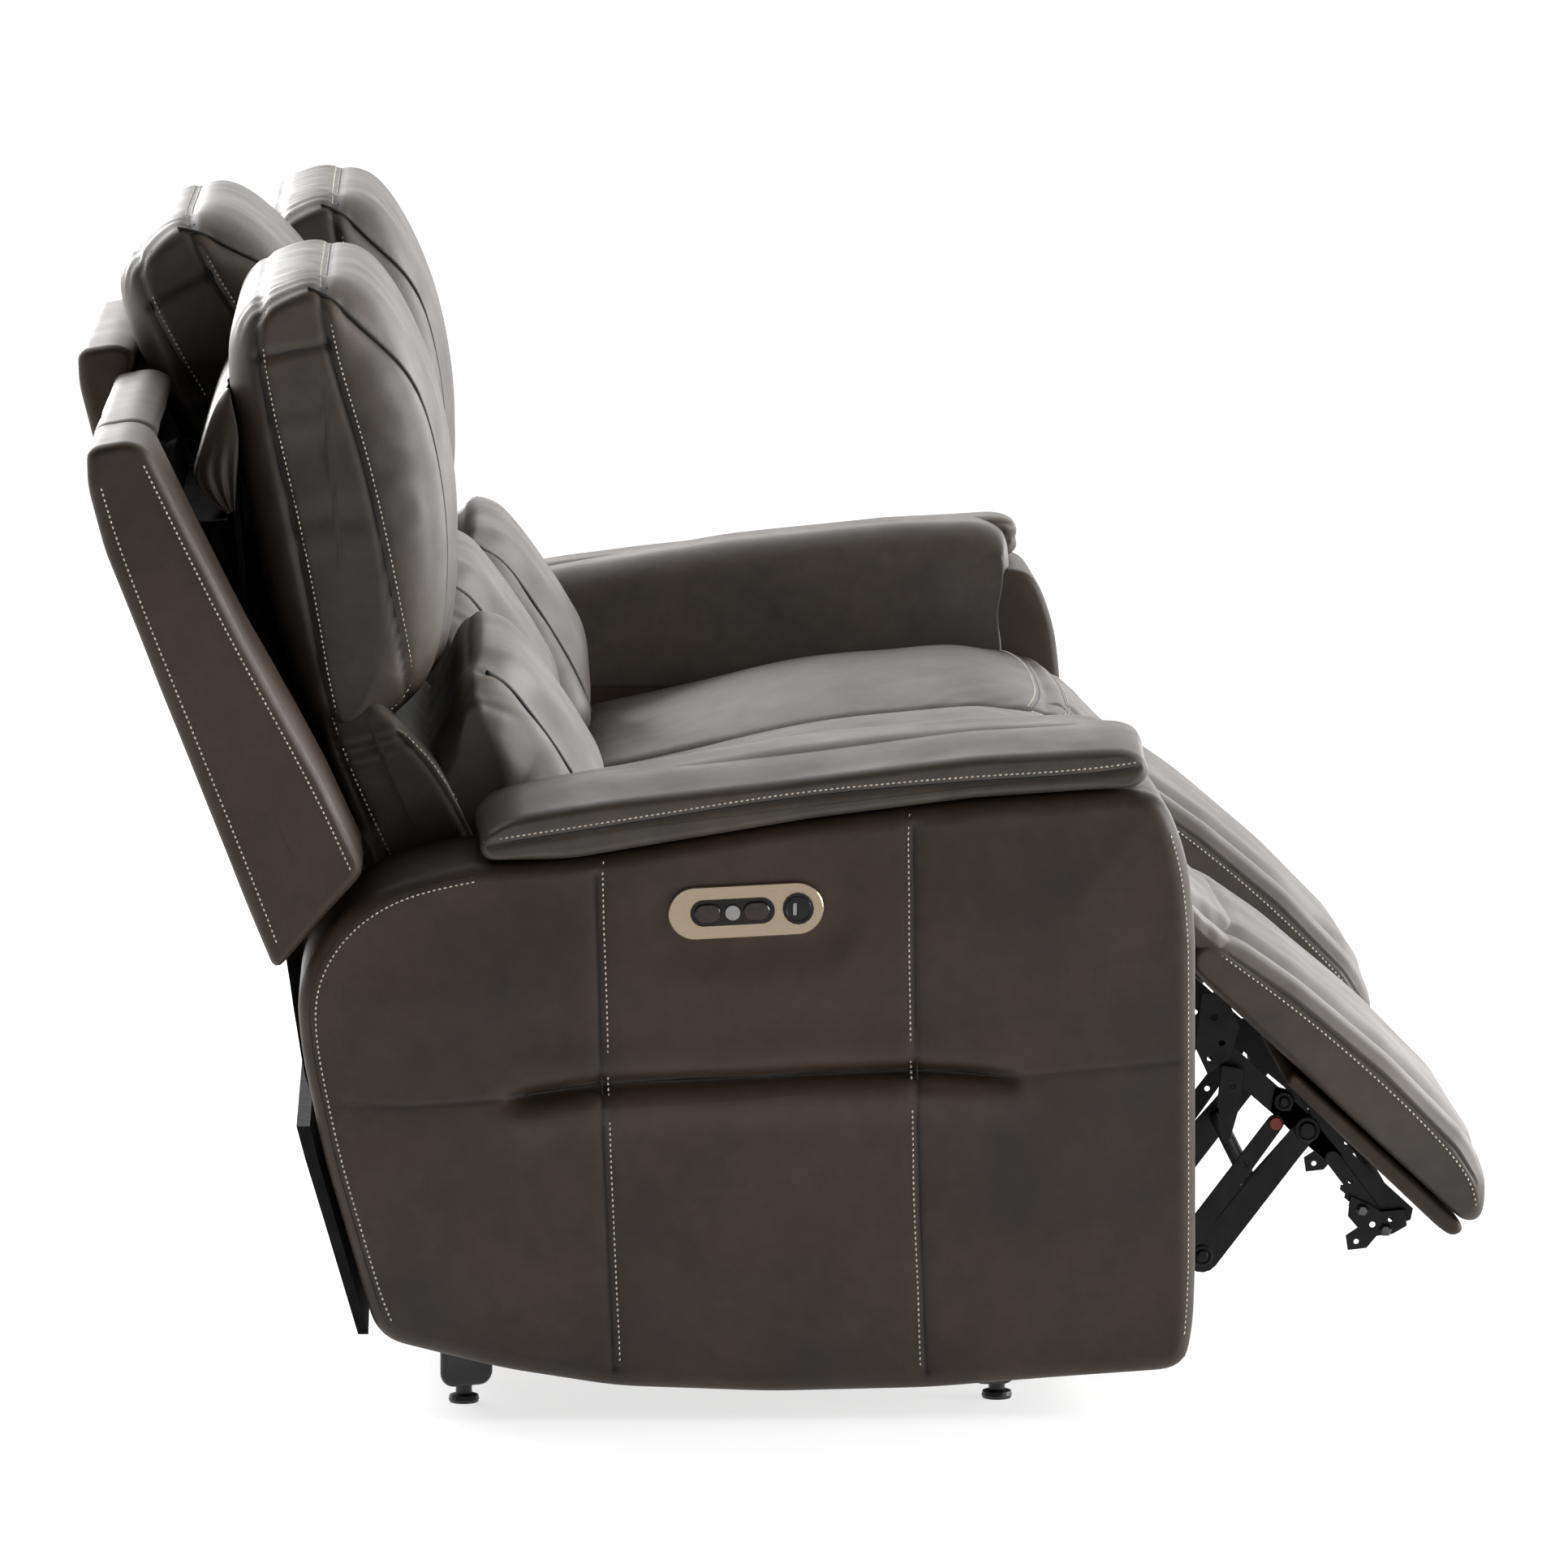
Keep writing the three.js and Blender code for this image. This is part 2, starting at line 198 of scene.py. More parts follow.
def near_segment(points, a, b):
    """The nearest point of the segment a-b to each point."""
    a, b = np.array(a, float), np.array(b, float)
    along = b - a
    t = np.clip(((points - a) @ along) / max(along @ along, 1e-9), 0.0, 1.0)
    return a + t[:, None] * along


def stations(start, end, spacing, hot=(), dense=None):
    """Values from start to end, close together around the hot ones and where their size is within dense."""
    low, high = min(start, end), max(start, end)
    count = max(2, int(round((high - low) / spacing)) + 1)
    values = np.linspace(low, high, count)
    if dense:
        zone = np.linspace(low, high, 2 * count - 1)
        values = sorted({*values, *zone[(np.abs(zone) > dense[0]) & (np.abs(zone) < dense[1])]})
    values = [v for v in values if all(abs(v - h) > HOT_STEPS[-1] for h in hot)]
    for h in hot:
        values += [h + d for d in HOT_STEPS if low < h + d < high]
    values = sorted(set(values) | {low, high})
    return np.array(values if start < end else values[::-1])


# ---------------------------------------------------------------- upholstered skins

class Skin:
    """A closed upholstered form: an outline carried across the seat, with rounded edges and capped sides.

    pos holds (ring, outline point, (x, y, s)) from the right-hand cap to the left-hand one.
    """

    def __init__(self, outline, right, left, depth, edge, spine, count, spacing, hot=(), cap=11, dense=None):
        loop = resample(outline, count)
        if np.sum(loop[:, 0] * np.roll(loop[:, 1], -1) - loop[:, 1] * np.roll(loop[:, 0], -1)) < 0:
            loop = loop[::-1]
        inward = near_segment(loop, *spine) - loop
        reach = np.linalg.norm(inward, axis=1)
        inward /= reach[:, None]
        depth = np.minimum(self.edge_depth(loop, depth), 0.8 * reach)
        rings, stops, caps = [], [], []

        def add(inset, s, t):
            ring = loop + inward * inset[:, None]
            rings.append(np.column_stack([ring, np.full(count, s)]))
            stops.append(s)
            caps.append(t)

        for t in np.linspace(0.94, 0.0, cap):
            add(depth + (reach - depth) * t, right, t)
        turns = np.linspace(0.0, math.pi / 2, max(9, int(edge / 3.2)))[1:-1]
        for turn in turns:
            add(depth * (1 - math.sin(turn)), right - edge * (1 - math.cos(turn)), 0.0)
        for s in stations(right - edge, left + edge, spacing, hot, dense=dense):
            add(depth * 0, s, 0.0)
        for turn in turns[::-1]:
            add(depth * (1 - math.sin(turn)), left + edge * (1 - math.cos(turn)), 0.0)
        for t in np.linspace(0.0, 0.94, cap):
            add(depth + (reach - depth) * t, left, t)
        self.pos = np.array(rings)
        self.base = self.pos.copy()
        self.s = np.array(stops)[:, None]
        self.cap = np.array(caps)[:, None]
        # seam: painted shade for seam grooves and creases, which the leather colour is darkened by
        self.seam = np.zeros(self.pos.shape[:2])
        self.half = (right - left) / 2

    @staticmethod
    def edge_depth(loop, depth):
        """How far the rounded edge comes in at each outline point; depth is (front, rear, top, bottom)."""
        along = np.roll(loop, -1, axis=0) - np.roll(loop, 1, axis=0)
        outward = np.column_stack([along[:, 1], -along[:, 0]]) / np.linalg.norm(along, axis=1)[:, None]
        front, rear, top, bottom = depth
        reach_x = outward[:, 0] * np.where(outward[:, 0] > 0, front, rear)
        reach_y = outward[:, 1] * np.where(outward[:, 1] > 0, top, bottom)
        return np.hypot(reach_x, reach_y)

    def normals(self):
        along = np.roll(self.pos, -1, axis=1) - np.roll(self.pos, 1, axis=1)
        across = np.gradient(self.pos, axis=0)
        normal = np.cross(across, along)
        return normal / np.maximum(np.linalg.norm(normal, axis=2, keepdims=True), 1e-9)

    def push(self, amount):
        """Moves the surface outwards by amount, in millimetres."""
        self.pos += self.normals() * np.broadcast_to(amount, self.pos.shape[:2])[..., None]

    def groove(self, distance, width, depth):
        """Pulls a seam in and paints shade into its groove through the seam attribute."""
        dip = np.exp(-((distance / width) ** 2))
        self.push(-depth * dip)
        self.seam = np.maximum(self.seam, np.exp(-((distance / (0.45 * width)) ** 2)))

    def facing(self, direction):
        """How far the undented surface faces a side-view direction, from -1 to 1."""
        along = np.roll(self.base, -1, axis=1) - np.roll(self.base, 1, axis=1)
        normal = np.cross(np.gradient(self.base, axis=0), along)
        normal /= np.maximum(np.linalg.norm(normal, axis=2, keepdims=True), 1e-9)
        return normal @ (np.array(direction, float) / np.linalg.norm(direction))

    def build(self, name, plane, shift=0.0, mirror=False):
        """The mesh object, moved by shift along s after mirroring."""
        rings, count = self.pos.shape[:2]
        placed = self.pos.reshape(-1, 3) * [1, 1, -1 if mirror else 1] + [0, 0, shift]
        j, i = np.meshgrid(np.arange(rings - 1), np.arange(count), indexing="ij")
        k = (i + 1) % count
        faces = np.stack([j * count + i, (j + 1) * count + i, (j + 1) * count + k, j * count + k], axis=-1)
        faces = [tuple(f) for f in faces.reshape(-1, 4).tolist()]
        faces.append(tuple(range(count)))
        faces.append(tuple(range(rings * count - 1, (rings - 1) * count - 1, -1)))
        if mirror:
            faces = [f[::-1] for f in faces]
        return solid(name, row(plane.out(placed)), faces, self.seam.ravel())


def solid(name, verts, faces, seam=None):
    """A smooth-shaded mesh object in the row frame, with its painted seam shade as an attribute."""
    mesh = bpy.data.meshes.new(name)
    mesh.from_pydata([tuple(v) for v in np.asarray(verts).tolist()], [], faces)
    mesh.shade_smooth()
    values = np.zeros(len(mesh.vertices)) if seam is None else np.asarray(seam, float)
    attribute = mesh.attributes.new("seam", "FLOAT", "POINT")
    attribute.data.foreach_set("value", values.astype(np.float32))
    mesh.update()
    obj = bpy.data.objects.new(name, mesh)
    bpy.context.scene.collection.objects.link(obj)
    return obj


# ---------------------------------------------------------------- stitching, and dark seam cords as painted seam shade

def surface(*objects):
    """A search tree over the given objects' faces, in millimetres of the row frame."""
    verts, faces = [], []
    for obj in objects:
        start = len(verts)
        verts += [obj.matrix_world @ v.co for v in obj.data.vertices]
        faces += [tuple(start + i for i in p.vertices) for p in obj.data.polygons]
    return BVHTree.FromPolygons(verts, faces)


def rounded(line):
    """A polyline with its corners cut twice, as a soft curve."""
    line = np.asarray(line, float)
    for _ in range(2):
        early = 0.75 * line[:-1] + 0.25 * line[1:]
        late = 0.25 * line[:-1] + 0.75 * line[1:]
        inner = np.stack([early, late], axis=1).reshape(-1, line.shape[1])
        line = np.vstack([line[:1], inner, line[-1:]])
    return line


def trace(tree, plane, guess, aim):
    """The line that a polyline of side-view points makes on a surface when thrown at it along aim."""
    points = row(plane.out(rounded(guess)))
    start, end = row(plane.out([(0.0, 0.0, 0.0), aim]))
    along = Vector(end - start).normalized()
    length = np.linalg.norm(np.diff(points, axis=0), axis=1).sum()
    points = resample(points, max(3, int(length * 1000 / TRACE_STEP)), closed=False)
    found, normals = [], []
    for point in points:
        place, normal, _, _ = tree.ray_cast(Vector(point) - along * THROW, along, 2 * THROW)
        if place is None:
            place, normal, _, _ = tree.find_nearest(Vector(point))
        found.append(place)
        normals.append(normal)
    found, normals = smoothed(np.array(found), 30), smoothed(np.array(normals), 30)
    return found, normals / np.linalg.norm(normals, axis=1, keepdims=True)


def onto(tree, point, normal):
    """Where a surface lies under or over a point, along a normal."""
    away = Vector(normal)
    place = tree.ray_cast(Vector(point) + away * 0.02, -away, 0.04)[0]
    return place or tree.find_nearest(Vector(point))[0]


def smoothed(line, rounds):
    for _ in range(rounds):
        line[1:-1] = (line[:-2] + 2 * line[1:-1] + line[2:]) / 4
    return line


def sideways(line, normals):
    """The directions across a line, within the surface that it lies on."""
    tangent = np.gradient(line, axis=0)
    tangent /= np.maximum(np.linalg.norm(tangent, axis=1, keepdims=True), 1e-9)
    return np.cross(normals, tangent)


class Thread:
    """Collects stitches or dark seam cords (painted seam shade), to be made as one piece."""

    def __init__(self):
        self.verts, self.faces = [], []

    def stitch(self, tree, line, normals, offset=0.0):
        """A row of stitches on a surface beside a line, offset millimetres away from it."""
        steps = np.linalg.norm(np.diff(line, axis=0), axis=1)
        arc = np.concatenate([[0.0], np.cumsum(steps)]) * 1000
        side = sideways(line, normals)
        path = line + side * offset * 0.001
        path = smoothed(np.array([onto(tree, p, n) for p, n in zip(path, normals)]), 18)
        path += normals * STITCH_LIFT * 0.001
        for start in np.arange(0.0, arc[-1] - STITCH_LENGTH, STITCH_PITCH):
            here = [np.array([np.interp(start + d, arc, path[:, k]) for k in range(3)])
                    for d in (0.0, STITCH_END, STITCH_LENGTH - STITCH_END, STITCH_LENGTH)]
            k = int(np.searchsorted(arc, start + STITCH_LENGTH / 2).clip(0, len(line) - 1))
            self.capsule(here, normals[k], side[k])

    def capsule(self, here, normal, side):
        """One stitch through four places: a square thread with pointed ends."""
        base = len(self.verts)
        radius = STITCH_RADIUS * 0.001
        ring = [normal * 0.75, side, -normal, -side]
        self.verts.append(here[0] - normal * radius)
        for centre in here[1:3]:
            self.verts += [centre + d * radius for d in ring]
        self.verts.append(here[3] - normal * radius)
        for k in range(4):
            n = (k + 1) % 4
            self.faces.append((base, base + 1 + n, base + 1 + k))
            self.faces.append((base + 1 + k, base + 1 + n, base + 5 + n, base + 5 + k))
            self.faces.append((base + 9, base + 5 + k, base + 5 + n))

    def cord(self, line, normals, radius=0.9, sink=0.25):
        """A thin dark cord laid along a line, as painted shade in a seam; below zero, sink makes it stand
        proud.
        """
        side = sideways(line, normals)
        centre = line - normals * sink * 0.001
        base = len(self.verts)
        turns = np.arange(6) * math.pi / 3
        for c, n, b in zip(centre, normals, side):
            self.verts += [c + (n * math.cos(a) + b * math.sin(a)) * radius * 0.001 for a in turns]
        for j in range(len(centre) - 1):
            for k in range(6):
                n = (k + 1) % 6
                a, b = base + j * 6, base + (j + 1) * 6
                self.faces.append((a + k, a + n, b + n, b + k))
        self.faces.append(tuple(base + k for k in range(5, -1, -1)))
        self.faces.append(tuple(base + (len(centre) - 1) * 6 + k for k in range(6)))

    def build(self, name, body, material, slot):
        obj = solid(name, np.array(self.verts), self.faces)
        obj.data.materials.append(material)
        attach(obj, body)
        return obj


# ---------------------------------------------------------------- materials

class Shade:
    """A small helper for node materials built round one Principled shader."""

    def __init__(self, name, **values):
        self.material = bpy.data.materials.new(name)
        self.material.use_nodes = True
        self.nodes = self.material.node_tree.nodes
        self.links = self.material.node_tree.links
        self.shader = self.nodes["Principled BSDF"]
        self.place = self.nodes.new("ShaderNodeTexCoord").outputs["Object"]
        for key, value in values.items():
            self.shader.inputs[key.replace("_", " ")].default_value = value

    def noise(self, scale, detail=3.0, rough=0.55, stretch=None):
        node = self.nodes.new("ShaderNodeTexNoise")
        node.inputs["Scale"].default_value = scale
        node.inputs["Detail"].default_value = detail
        node.inputs["Roughness"].default_value = rough
        place = self.place
        if stretch:
            mapping = self.nodes.new("ShaderNodeMapping")
            mapping.inputs["Scale"].default_value = stretch
            self.links.new(place, mapping.inputs["Vector"])
            place = mapping.outputs["Vector"]
        self.links.new(place, node.inputs["Vector"])
        return node.outputs["Fac"]

    def cells(self, scale):
        node = self.nodes.new("ShaderNodeTexVoronoi")
        node.feature = "DISTANCE_TO_EDGE"
        node.inputs["Scale"].default_value = scale
        self.links.new(self.place, node.inputs["Vector"])
        return node.outputs["Distance"]

    def ramp(self, value, *stops):
        node = self.nodes.new("ShaderNodeValToRGB")
        node.color_ramp.elements.remove(node.color_ramp.elements[1])
        for k, (place, colour) in enumerate(stops):
            element = node.color_ramp.elements[0] if k == 0 else node.color_ramp.elements.new(place)
            element.position = place
            element.color = (*colour, 1.0)
        self.links.new(value, node.inputs["Fac"])
        return node.outputs["Color"]

    def span(self, value, low, high, out_low, out_high):
        node = self.nodes.new("ShaderNodeMapRange")
        for key, number in zip(("From Min", "From Max", "To Min", "To Max"), (low, high, out_low, out_high)):
            node.inputs[key].default_value = number
        self.links.new(value, node.inputs["Value"])
        return node.outputs["Result"]

    def mix(self, factor, first, second, blend="MIX"):
        node = self.nodes.new("ShaderNodeMix")
        node.data_type = "RGBA"
        node.blend_type = blend
        sockets = (node.inputs["Factor"], node.inputs[6], node.inputs[7])
        for socket, value in zip(sockets, (factor, first, second)):
            if isinstance(value, bpy.types.NodeSocket):
                self.links.new(value, socket)
            else:
                socket.default_value = value if isinstance(value, float) else (*value, 1.0)
        return node.outputs[2]

    # The painted seam shade that grooves and creases carry, from 0 to 1
    def seam(self):
        node = self.nodes.new("ShaderNodeAttribute")
        node.attribute_name = "seam"
        return node.outputs["Fac"]

    def bump(self, *layers):
        """Stacks (height, strength, distance) layers into the shader's normal."""
        normal = None
        for height, strength, distance in layers:
            node = self.nodes.new("ShaderNodeBump")
            node.inputs["Strength"].default_value = strength
            node.inputs["Distance"].default_value = distance
            self.links.new(height, node.inputs["Height"])
            if normal is not None:
                self.links.new(normal, node.inputs["Normal"])
            normal = node.outputs["Normal"]
        self.links.new(normal, self.shader.inputs["Normal"])

    def wire(self, key, value):
        self.links.new(value, self.shader.inputs[key])


def leather(name, dark, middle, light, rough=(0.44, 0.58), shine=0.46):
    """Semi-aniline leather: cloudy dye, a fine grain, and painted shade in its seams and creases."""
    shade = Shade(name, Specular_IOR_Level=shine, Coat_Weight=0.05, Coat_Roughness=0.45)
    cloud = shade.ramp(shade.noise(5.2, 5.0, 0.62), (0.34, dark), (0.5, middle), (0.66, light))
    speck = shade.ramp(shade.noise(46.0, 4.0, 0.7), (0.3, (0.8, 0.8, 0.8)), (0.7, (1.12, 1.12, 1.12)))
    dyed = shade.mix(1.0, cloud, speck, "MULTIPLY")
    # Painted shade: seams and creases are mixed towards a third of the dark tone
    shade.wire("Base Color", shade.mix(shade.seam(), dyed, tuple(0.3 * c for c in dark)))
    shade.wire("Roughness", shade.span(shade.noise(13.0, 3.0), 0.3, 0.7, *rough))
    shade.bump((shade.noise(60.0, 3.0), 0.12, 0.0015), (shade.cells(820.0), 0.10, 0.0005))
    return shade.material


def thread():
    shade = Shade("thread", Roughness=0.75)
    colour = shade.ramp(shade.noise(300.0, 2.0), (0.35, (0.42, 0.38, 0.32)), (0.65, (0.60, 0.55, 0.47)))
    shade.wire("Base Color", colour)
    shade.bump((shade.noise(2600.0, 2.0), 0.3, 0.0002))
    return shade.material


def painted(name, dark, light, rough=(0.3, 0.5), metallic=0.0, specular=0.5):
    """Paint or plastic with faint wear."""
    shade = Shade(name, Metallic=metallic, Specular_IOR_Level=specular)
    shade.wire("Base Color", shade.ramp(shade.noise(24.0, 4.0), (0.35, dark), (0.7, light)))
    shade.wire("Roughness", shade.span(shade.noise(70.0, 4.0, 0.7), 0.3, 0.7, *rough))
    shade.bump((shade.noise(420.0, 2.0), 0.12, 0.0003))
    return shade.material


def brushed(name, dark, light):
    """Champagne metal, brushed along the arm."""
    shade = Shade(name, Metallic=1.0)
    grain = shade.noise(2400.0, 3.0, stretch=(1.0, 0.015, 1.0))
    shade.wire("Base Color", shade.ramp(grain, (0.3, dark), (0.7, light)))
    shade.wire("Roughness", shade.span(grain, 0.3, 0.7, 0.24, 0.36))
    shade.bump((grain, 0.08, 0.0002))
    return shade.material


def smoky(name):
    """Glossy near-black plastic, faintly red in places."""
    shade = Shade(name, Specular_IOR_Level=0.3, Coat_Weight=0.15, Coat_Roughness=0.04)
    tint = shade.ramp(shade.noise(120.0, 3.0), (0.35, (0.004, 0.003, 0.003)), (0.7, (0.030, 0.011, 0.007)))
    shade.wire("Base Color", tint)
    shade.wire("Roughness", shade.span(shade.noise(200.0), 0.3, 0.7, 0.12, 0.22))
    return shade.material


def woven(name, dark, light):
    """Black dust cloth with a fine weave."""
    shade = Shade(name, Specular_IOR_Level=0.2)
    shade.wire("Base Color", shade.ramp(shade.noise(30.0, 4.0), (0.3, dark), (0.7, light)))
    shade.wire("Roughness", shade.span(shade.noise(90.0), 0.3, 0.7, 0.8, 0.95))
    shade.bump((shade.noise(900.0, 1.0, stretch=(1.0, 1.0, 0.3)), 0.3, 0.0004))
    return shade.material


HIDE = leather("cushion leather", (0.031, 0.024, 0.019), (0.044, 0.034, 0.026), (0.055, 0.041, 0.031))
ARM_HIDE = leather("arm leather", (0.022, 0.0145, 0.009), (0.032, 0.0195, 0.012), (0.043, 0.0255, 0.016),
                   (0.5, 0.62), 0.36)
THREAD = thread()
# Near-black cords in seams, the tuck crease and along piping: painted seam shadow
SEAM_SHADOW = painted("seam shadow", (0.004, 0.004, 0.004), (0.010, 0.009, 0.008), (0.6, 0.8))
STEEL = painted("black steel", (0.0025, 0.0025, 0.003), (0.008, 0.008, 0.0085), (0.34, 0.5), specular=0.22)
BRIGHT_STEEL = painted("bolt steel", (0.05, 0.05, 0.05), (0.16, 0.155, 0.15), (0.2, 0.35), 0.9)
RED = painted("red bushing", (0.16, 0.008, 0.008), (0.26, 0.015, 0.012))
FOOT = painted("foot plastic", (0.006, 0.006, 0.006), (0.014, 0.014, 0.014), (0.35, 0.5))
CHAMPAGNE = brushed("champagne metal", (0.335, 0.275, 0.195), (0.365, 0.30, 0.215))
PANEL = painted("panel plastic", (0.005, 0.005, 0.005), (0.011, 0.010, 0.010), (0.15, 0.3), specular=0.22)
SMOKE = smoky("smoky plastic")
SILVER = painted("button rim", (0.16, 0.16, 0.16), (0.3, 0.29, 0.28), (0.2, 0.3), 0.8)
CLOTH = woven("dust cloth", (0.004, 0.004, 0.004), (0.012, 0.012, 0.012))
BOARD = painted("wood board", (0.10, 0.065, 0.035), (0.22, 0.15, 0.085), (0.6, 0.8))


def finished(obj, body, material, nodes=()):
    """Gives a made piece its material and body, and hides the CAD nodes that it stands for."""
    obj.data.materials.append(material)
    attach(obj, body)
    if nodes:
        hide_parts(*nodes)
    return obj


# ---------------------------------------------------------------- arms

ARM_SIDE = [(-300, 545), (-379, 527), (-426, 496), (-453, 460), (-469, 421), (-464, 362), (-443, 259),
            (-393, 83), (-272, 52), (-163, 34), (-14, 27.5), (139, 30), (260, 39), (386, 47), (395, 86),
            (397, 150), (395, 475), (387, 546), (367, 601), (345, 613), (297, 612.5), (180, 605), (25, 586),
            (-208, 548)]
ARM_CORNERS = ((-396, 92), (393, 56), (374, 596), (-455, 452))
ARM_TURN = 17.0
INNER_TURN = 9.0
EDGE_SEAM = 1022.0
ARM_RISE = 560.0
TUCK_RISE = 305.0
SEAM_FOOT = (-167.0, 136.0)
SEAM_HEAD = (-181.0, 124.0)
REAR_SEAM = [(-182, 568), (-177, 332), (-171, 180), (-165, 36)]
FRONT_SEAM = [(123, 602), (126, 344), (131, 180), (137, 32)]
TUCK = [(-262, 319), (-178, 331), (0, 338), (126, 343), (215, 336)]
TUCK_TAIL = [(-448, 314), (-360, 312), (-262, 319)]
TUCK_NOSE = [(215, 336), (300, 344), (396, 352)]
CONTROL_AXIS = [(-87, 497), (11, 502)]


def cut(points, start, end):
    """The stretch of a closed outline from the point nearest start to the one nearest end."""
    points = np.array(points, float)
    a = int(np.argmin(np.linalg.norm(points - start, axis=1)))
    b = int(np.argmin(np.linalg.norm(points - end, axis=1)))
    order = [(a + k) % len(points) for k in range((b - a) % len(points) + 1)]
    return points[order]


def arm_outline():
    return resample(fillet(ARM_SIDE, 26.0), 900)


def along_edge(line, values):
    """Points of an edge at the given x values."""
    order = np.argsort(line[:, 0])
    return np.column_stack([np.interp(values, line[order, 0], line[order, k]) for k in range(2)])


def up_edge(line, rise):
    """Points of an edge at the given shares of its length."""
    even = resample(line, 400, closed=False)
    return np.column_stack([np.interp(rise, np.linspace(0, 1, 400), even[:, k]) for k in range(2)])


def rim_inward(outline, rim):
    """The inward direction at each rim point, smoothed round the corners."""
    along = np.roll(outline, -6, axis=0) - np.roll(outline, 6, axis=0)
    inward = np.column_stack([-along[:, 1], along[:, 0]]) / np.linalg.norm(along, axis=1)[:, None]
    inset = inward[[int(np.argmin(np.linalg.norm(outline - p, axis=1))) for p in rim]]
    for _ in range(6):
        inset = (np.roll(inset, 1, axis=0) + 2 * inset + np.roll(inset, -1, axis=0)) / 4
    return inset


def patch(rim, foot, rise):
    """The grid that fills a closed rim, with its columns at foot and its rows at rise."""
    columns, rows = len(foot), len(rise)
    a, b, c = columns - 1, columns + rows - 2, 2 * columns + rows - 3
    low, front, top = rim[:a + 1], rim[a:b + 1], rim[b:c + 1][::-1]
    rear = np.vstack([rim[c:], rim[:1]])[::-1]
    u = ((foot - foot[0]) / (foot[-1] - foot[0]))[:, None, None]
    v = rise[None, :, None]
    grid = (1 - v) * low[:, None] + v * top[:, None] + (1 - u) * rear[None] + u * front[None]
    grid -= (1 - u) * (1 - v) * low[0] + u * (1 - v) * low[-1] + (1 - u) * v * top[0] + u * v * top[-1]
    return grid


def arm_grid():
    """The outer face as a grid whose columns follow the upright seams, its rim and the inset rim."""
    outline = arm_outline()
    low, front, top, rear = (cut(outline, ARM_CORNERS[k], ARM_CORNERS[(k + 1) % 4]) for k in range(4))
    top, rear = top[::-1], rear[::-1]
    foot = stations(low[0, 0], low[-1, 0], 6.0, SEAM_FOOT)
    head = np.interp(foot, [low[0, 0], *SEAM_FOOT, low[-1, 0]], [top[0, 0], *SEAM_HEAD, top[-1, 0]])
    rise = stations(0.0, ARM_RISE, 6.0, (TUCK_RISE,)) / ARM_RISE
    low_edge, top_edge = along_edge(low, foot), along_edge(top, head)
    rear_edge, front_edge = up_edge(rear, rise), up_edge(front, rise)
    low_edge[0], low_edge[-1] = rear_edge[0], front_edge[0]
    top_edge[0], top_edge[-1] = rear_edge[-1], front_edge[-1]
    rim = np.vstack([low_edge[:-1], front_edge[:-1], top_edge[::-1][:-1], rear_edge[::-1][:-1]])
    shrunk = rim + rim_inward(outline, rim) * ARM_TURN
    return patch(shrunk, foot, rise), rim, shrunk


def arm_swell(flat, shrunk, sign):
    """How far the outer face stands out at each point, and how much painted seam shade it gets there."""
    swell = 5.5 * smoothstep(0, 120, segment_distance(flat, np.vstack([shrunk, shrunk[:1]])))
    place = np.column_stack([flat, np.full(len(flat), 90.0 * sign)])
    swell += 1.1 * noise(place, (150, 190, 100), 3) + 0.5 * noise(place, (60, 80, 60), 4)
    # seam: painted shade along the seams and in the tuck crease
    seam = np.zeros(len(flat))
    for line in (REAR_SEAM, FRONT_SEAM):
        gap = segment_distance(flat, line)
        swell -= 1.6 * np.exp(-((gap / 9.0) ** 2)) + 1.2 * np.exp(-((gap / 2.6) ** 2))
        seam = np.maximum(seam, np.exp(-((gap / 1.7) ** 2)))
    gap = segment_distance(flat, TUCK)
    ends = smoothstep(-300, -225, flat[:, 0]) * smoothstep(262, 170, flat[:, 0])
    below = np.interp(flat[:, 0], *np.array(TUCK).T) - flat[:, 1]
    swell -= ends * 13.0 * np.exp(-((gap / 8.0) ** 2))
    swell += ends * 6.0 * np.exp(-(((below - 24) / 16.0) ** 2))
    swell += ends * 1.5 * np.exp(-(((below + 26) / 18.0) ** 2))
    seam = np.maximum(seam, 0.9 * ends * np.exp(-((gap / 4.5) ** 2)))
    for line in (TUCK_TAIL, TUCK_NOSE):
        gap = segment_distance(flat, line)
        swell -= 0.9 * np.exp(-((gap / 3.0) ** 2))
        seam = np.maximum(seam, 0.5 * np.exp(-((gap / 1.5) ** 2)))
    pressed = smoothstep(26.0, 75.0, segment_distance(flat, CONTROL_AXIS))
    return swell * pressed - 0.4 * (1 - pressed), seam


def arm_rings(rim, shrunk):
    """The loops behind the outer face: round its edge, across the arm and in over the inner face."""
    rings = []
    for turn in np.linspace(0, math.pi / 2, 8)[1:]:
        share = 1 - math.sin(turn)
        rings.append((rim + (shrunk - rim) * share, OUTER_FACE - ARM_TURN * (1 - math.cos(turn))))
    for s in (1030.0, 1022.0, 1012.0, 985.0, 950.0, 915.0, 885.0, 862.0, INNER_FACE + INNER_TURN):
        dip = 1.5 * math.exp(-((s - EDGE_SEAM) / 4.0) ** 2)
        rings.append((rim + (shrunk - rim) * dip / ARM_TURN, s))
    for turn in np.linspace(0, math.pi / 2, 5)[1:]:
        ring = rim + (shrunk - rim) * (1 - math.cos(turn)) * 0.5
        rings.append((ring, INNER_FACE + INNER_TURN * (1 - math.sin(turn))))
    core = near_segment(shrunk, (-330, 330), (300, 320))
    for share in np.linspace(0.08, 0.95, 9):
        ring = shrunk * (1 - share) + core * share + (rim - shrunk) * 0.5 * (1 - share)
        rings.append((ring, INNER_FACE))
    return [np.column_stack([ring, np.full(len(ring), s)]) for ring, s in rings]


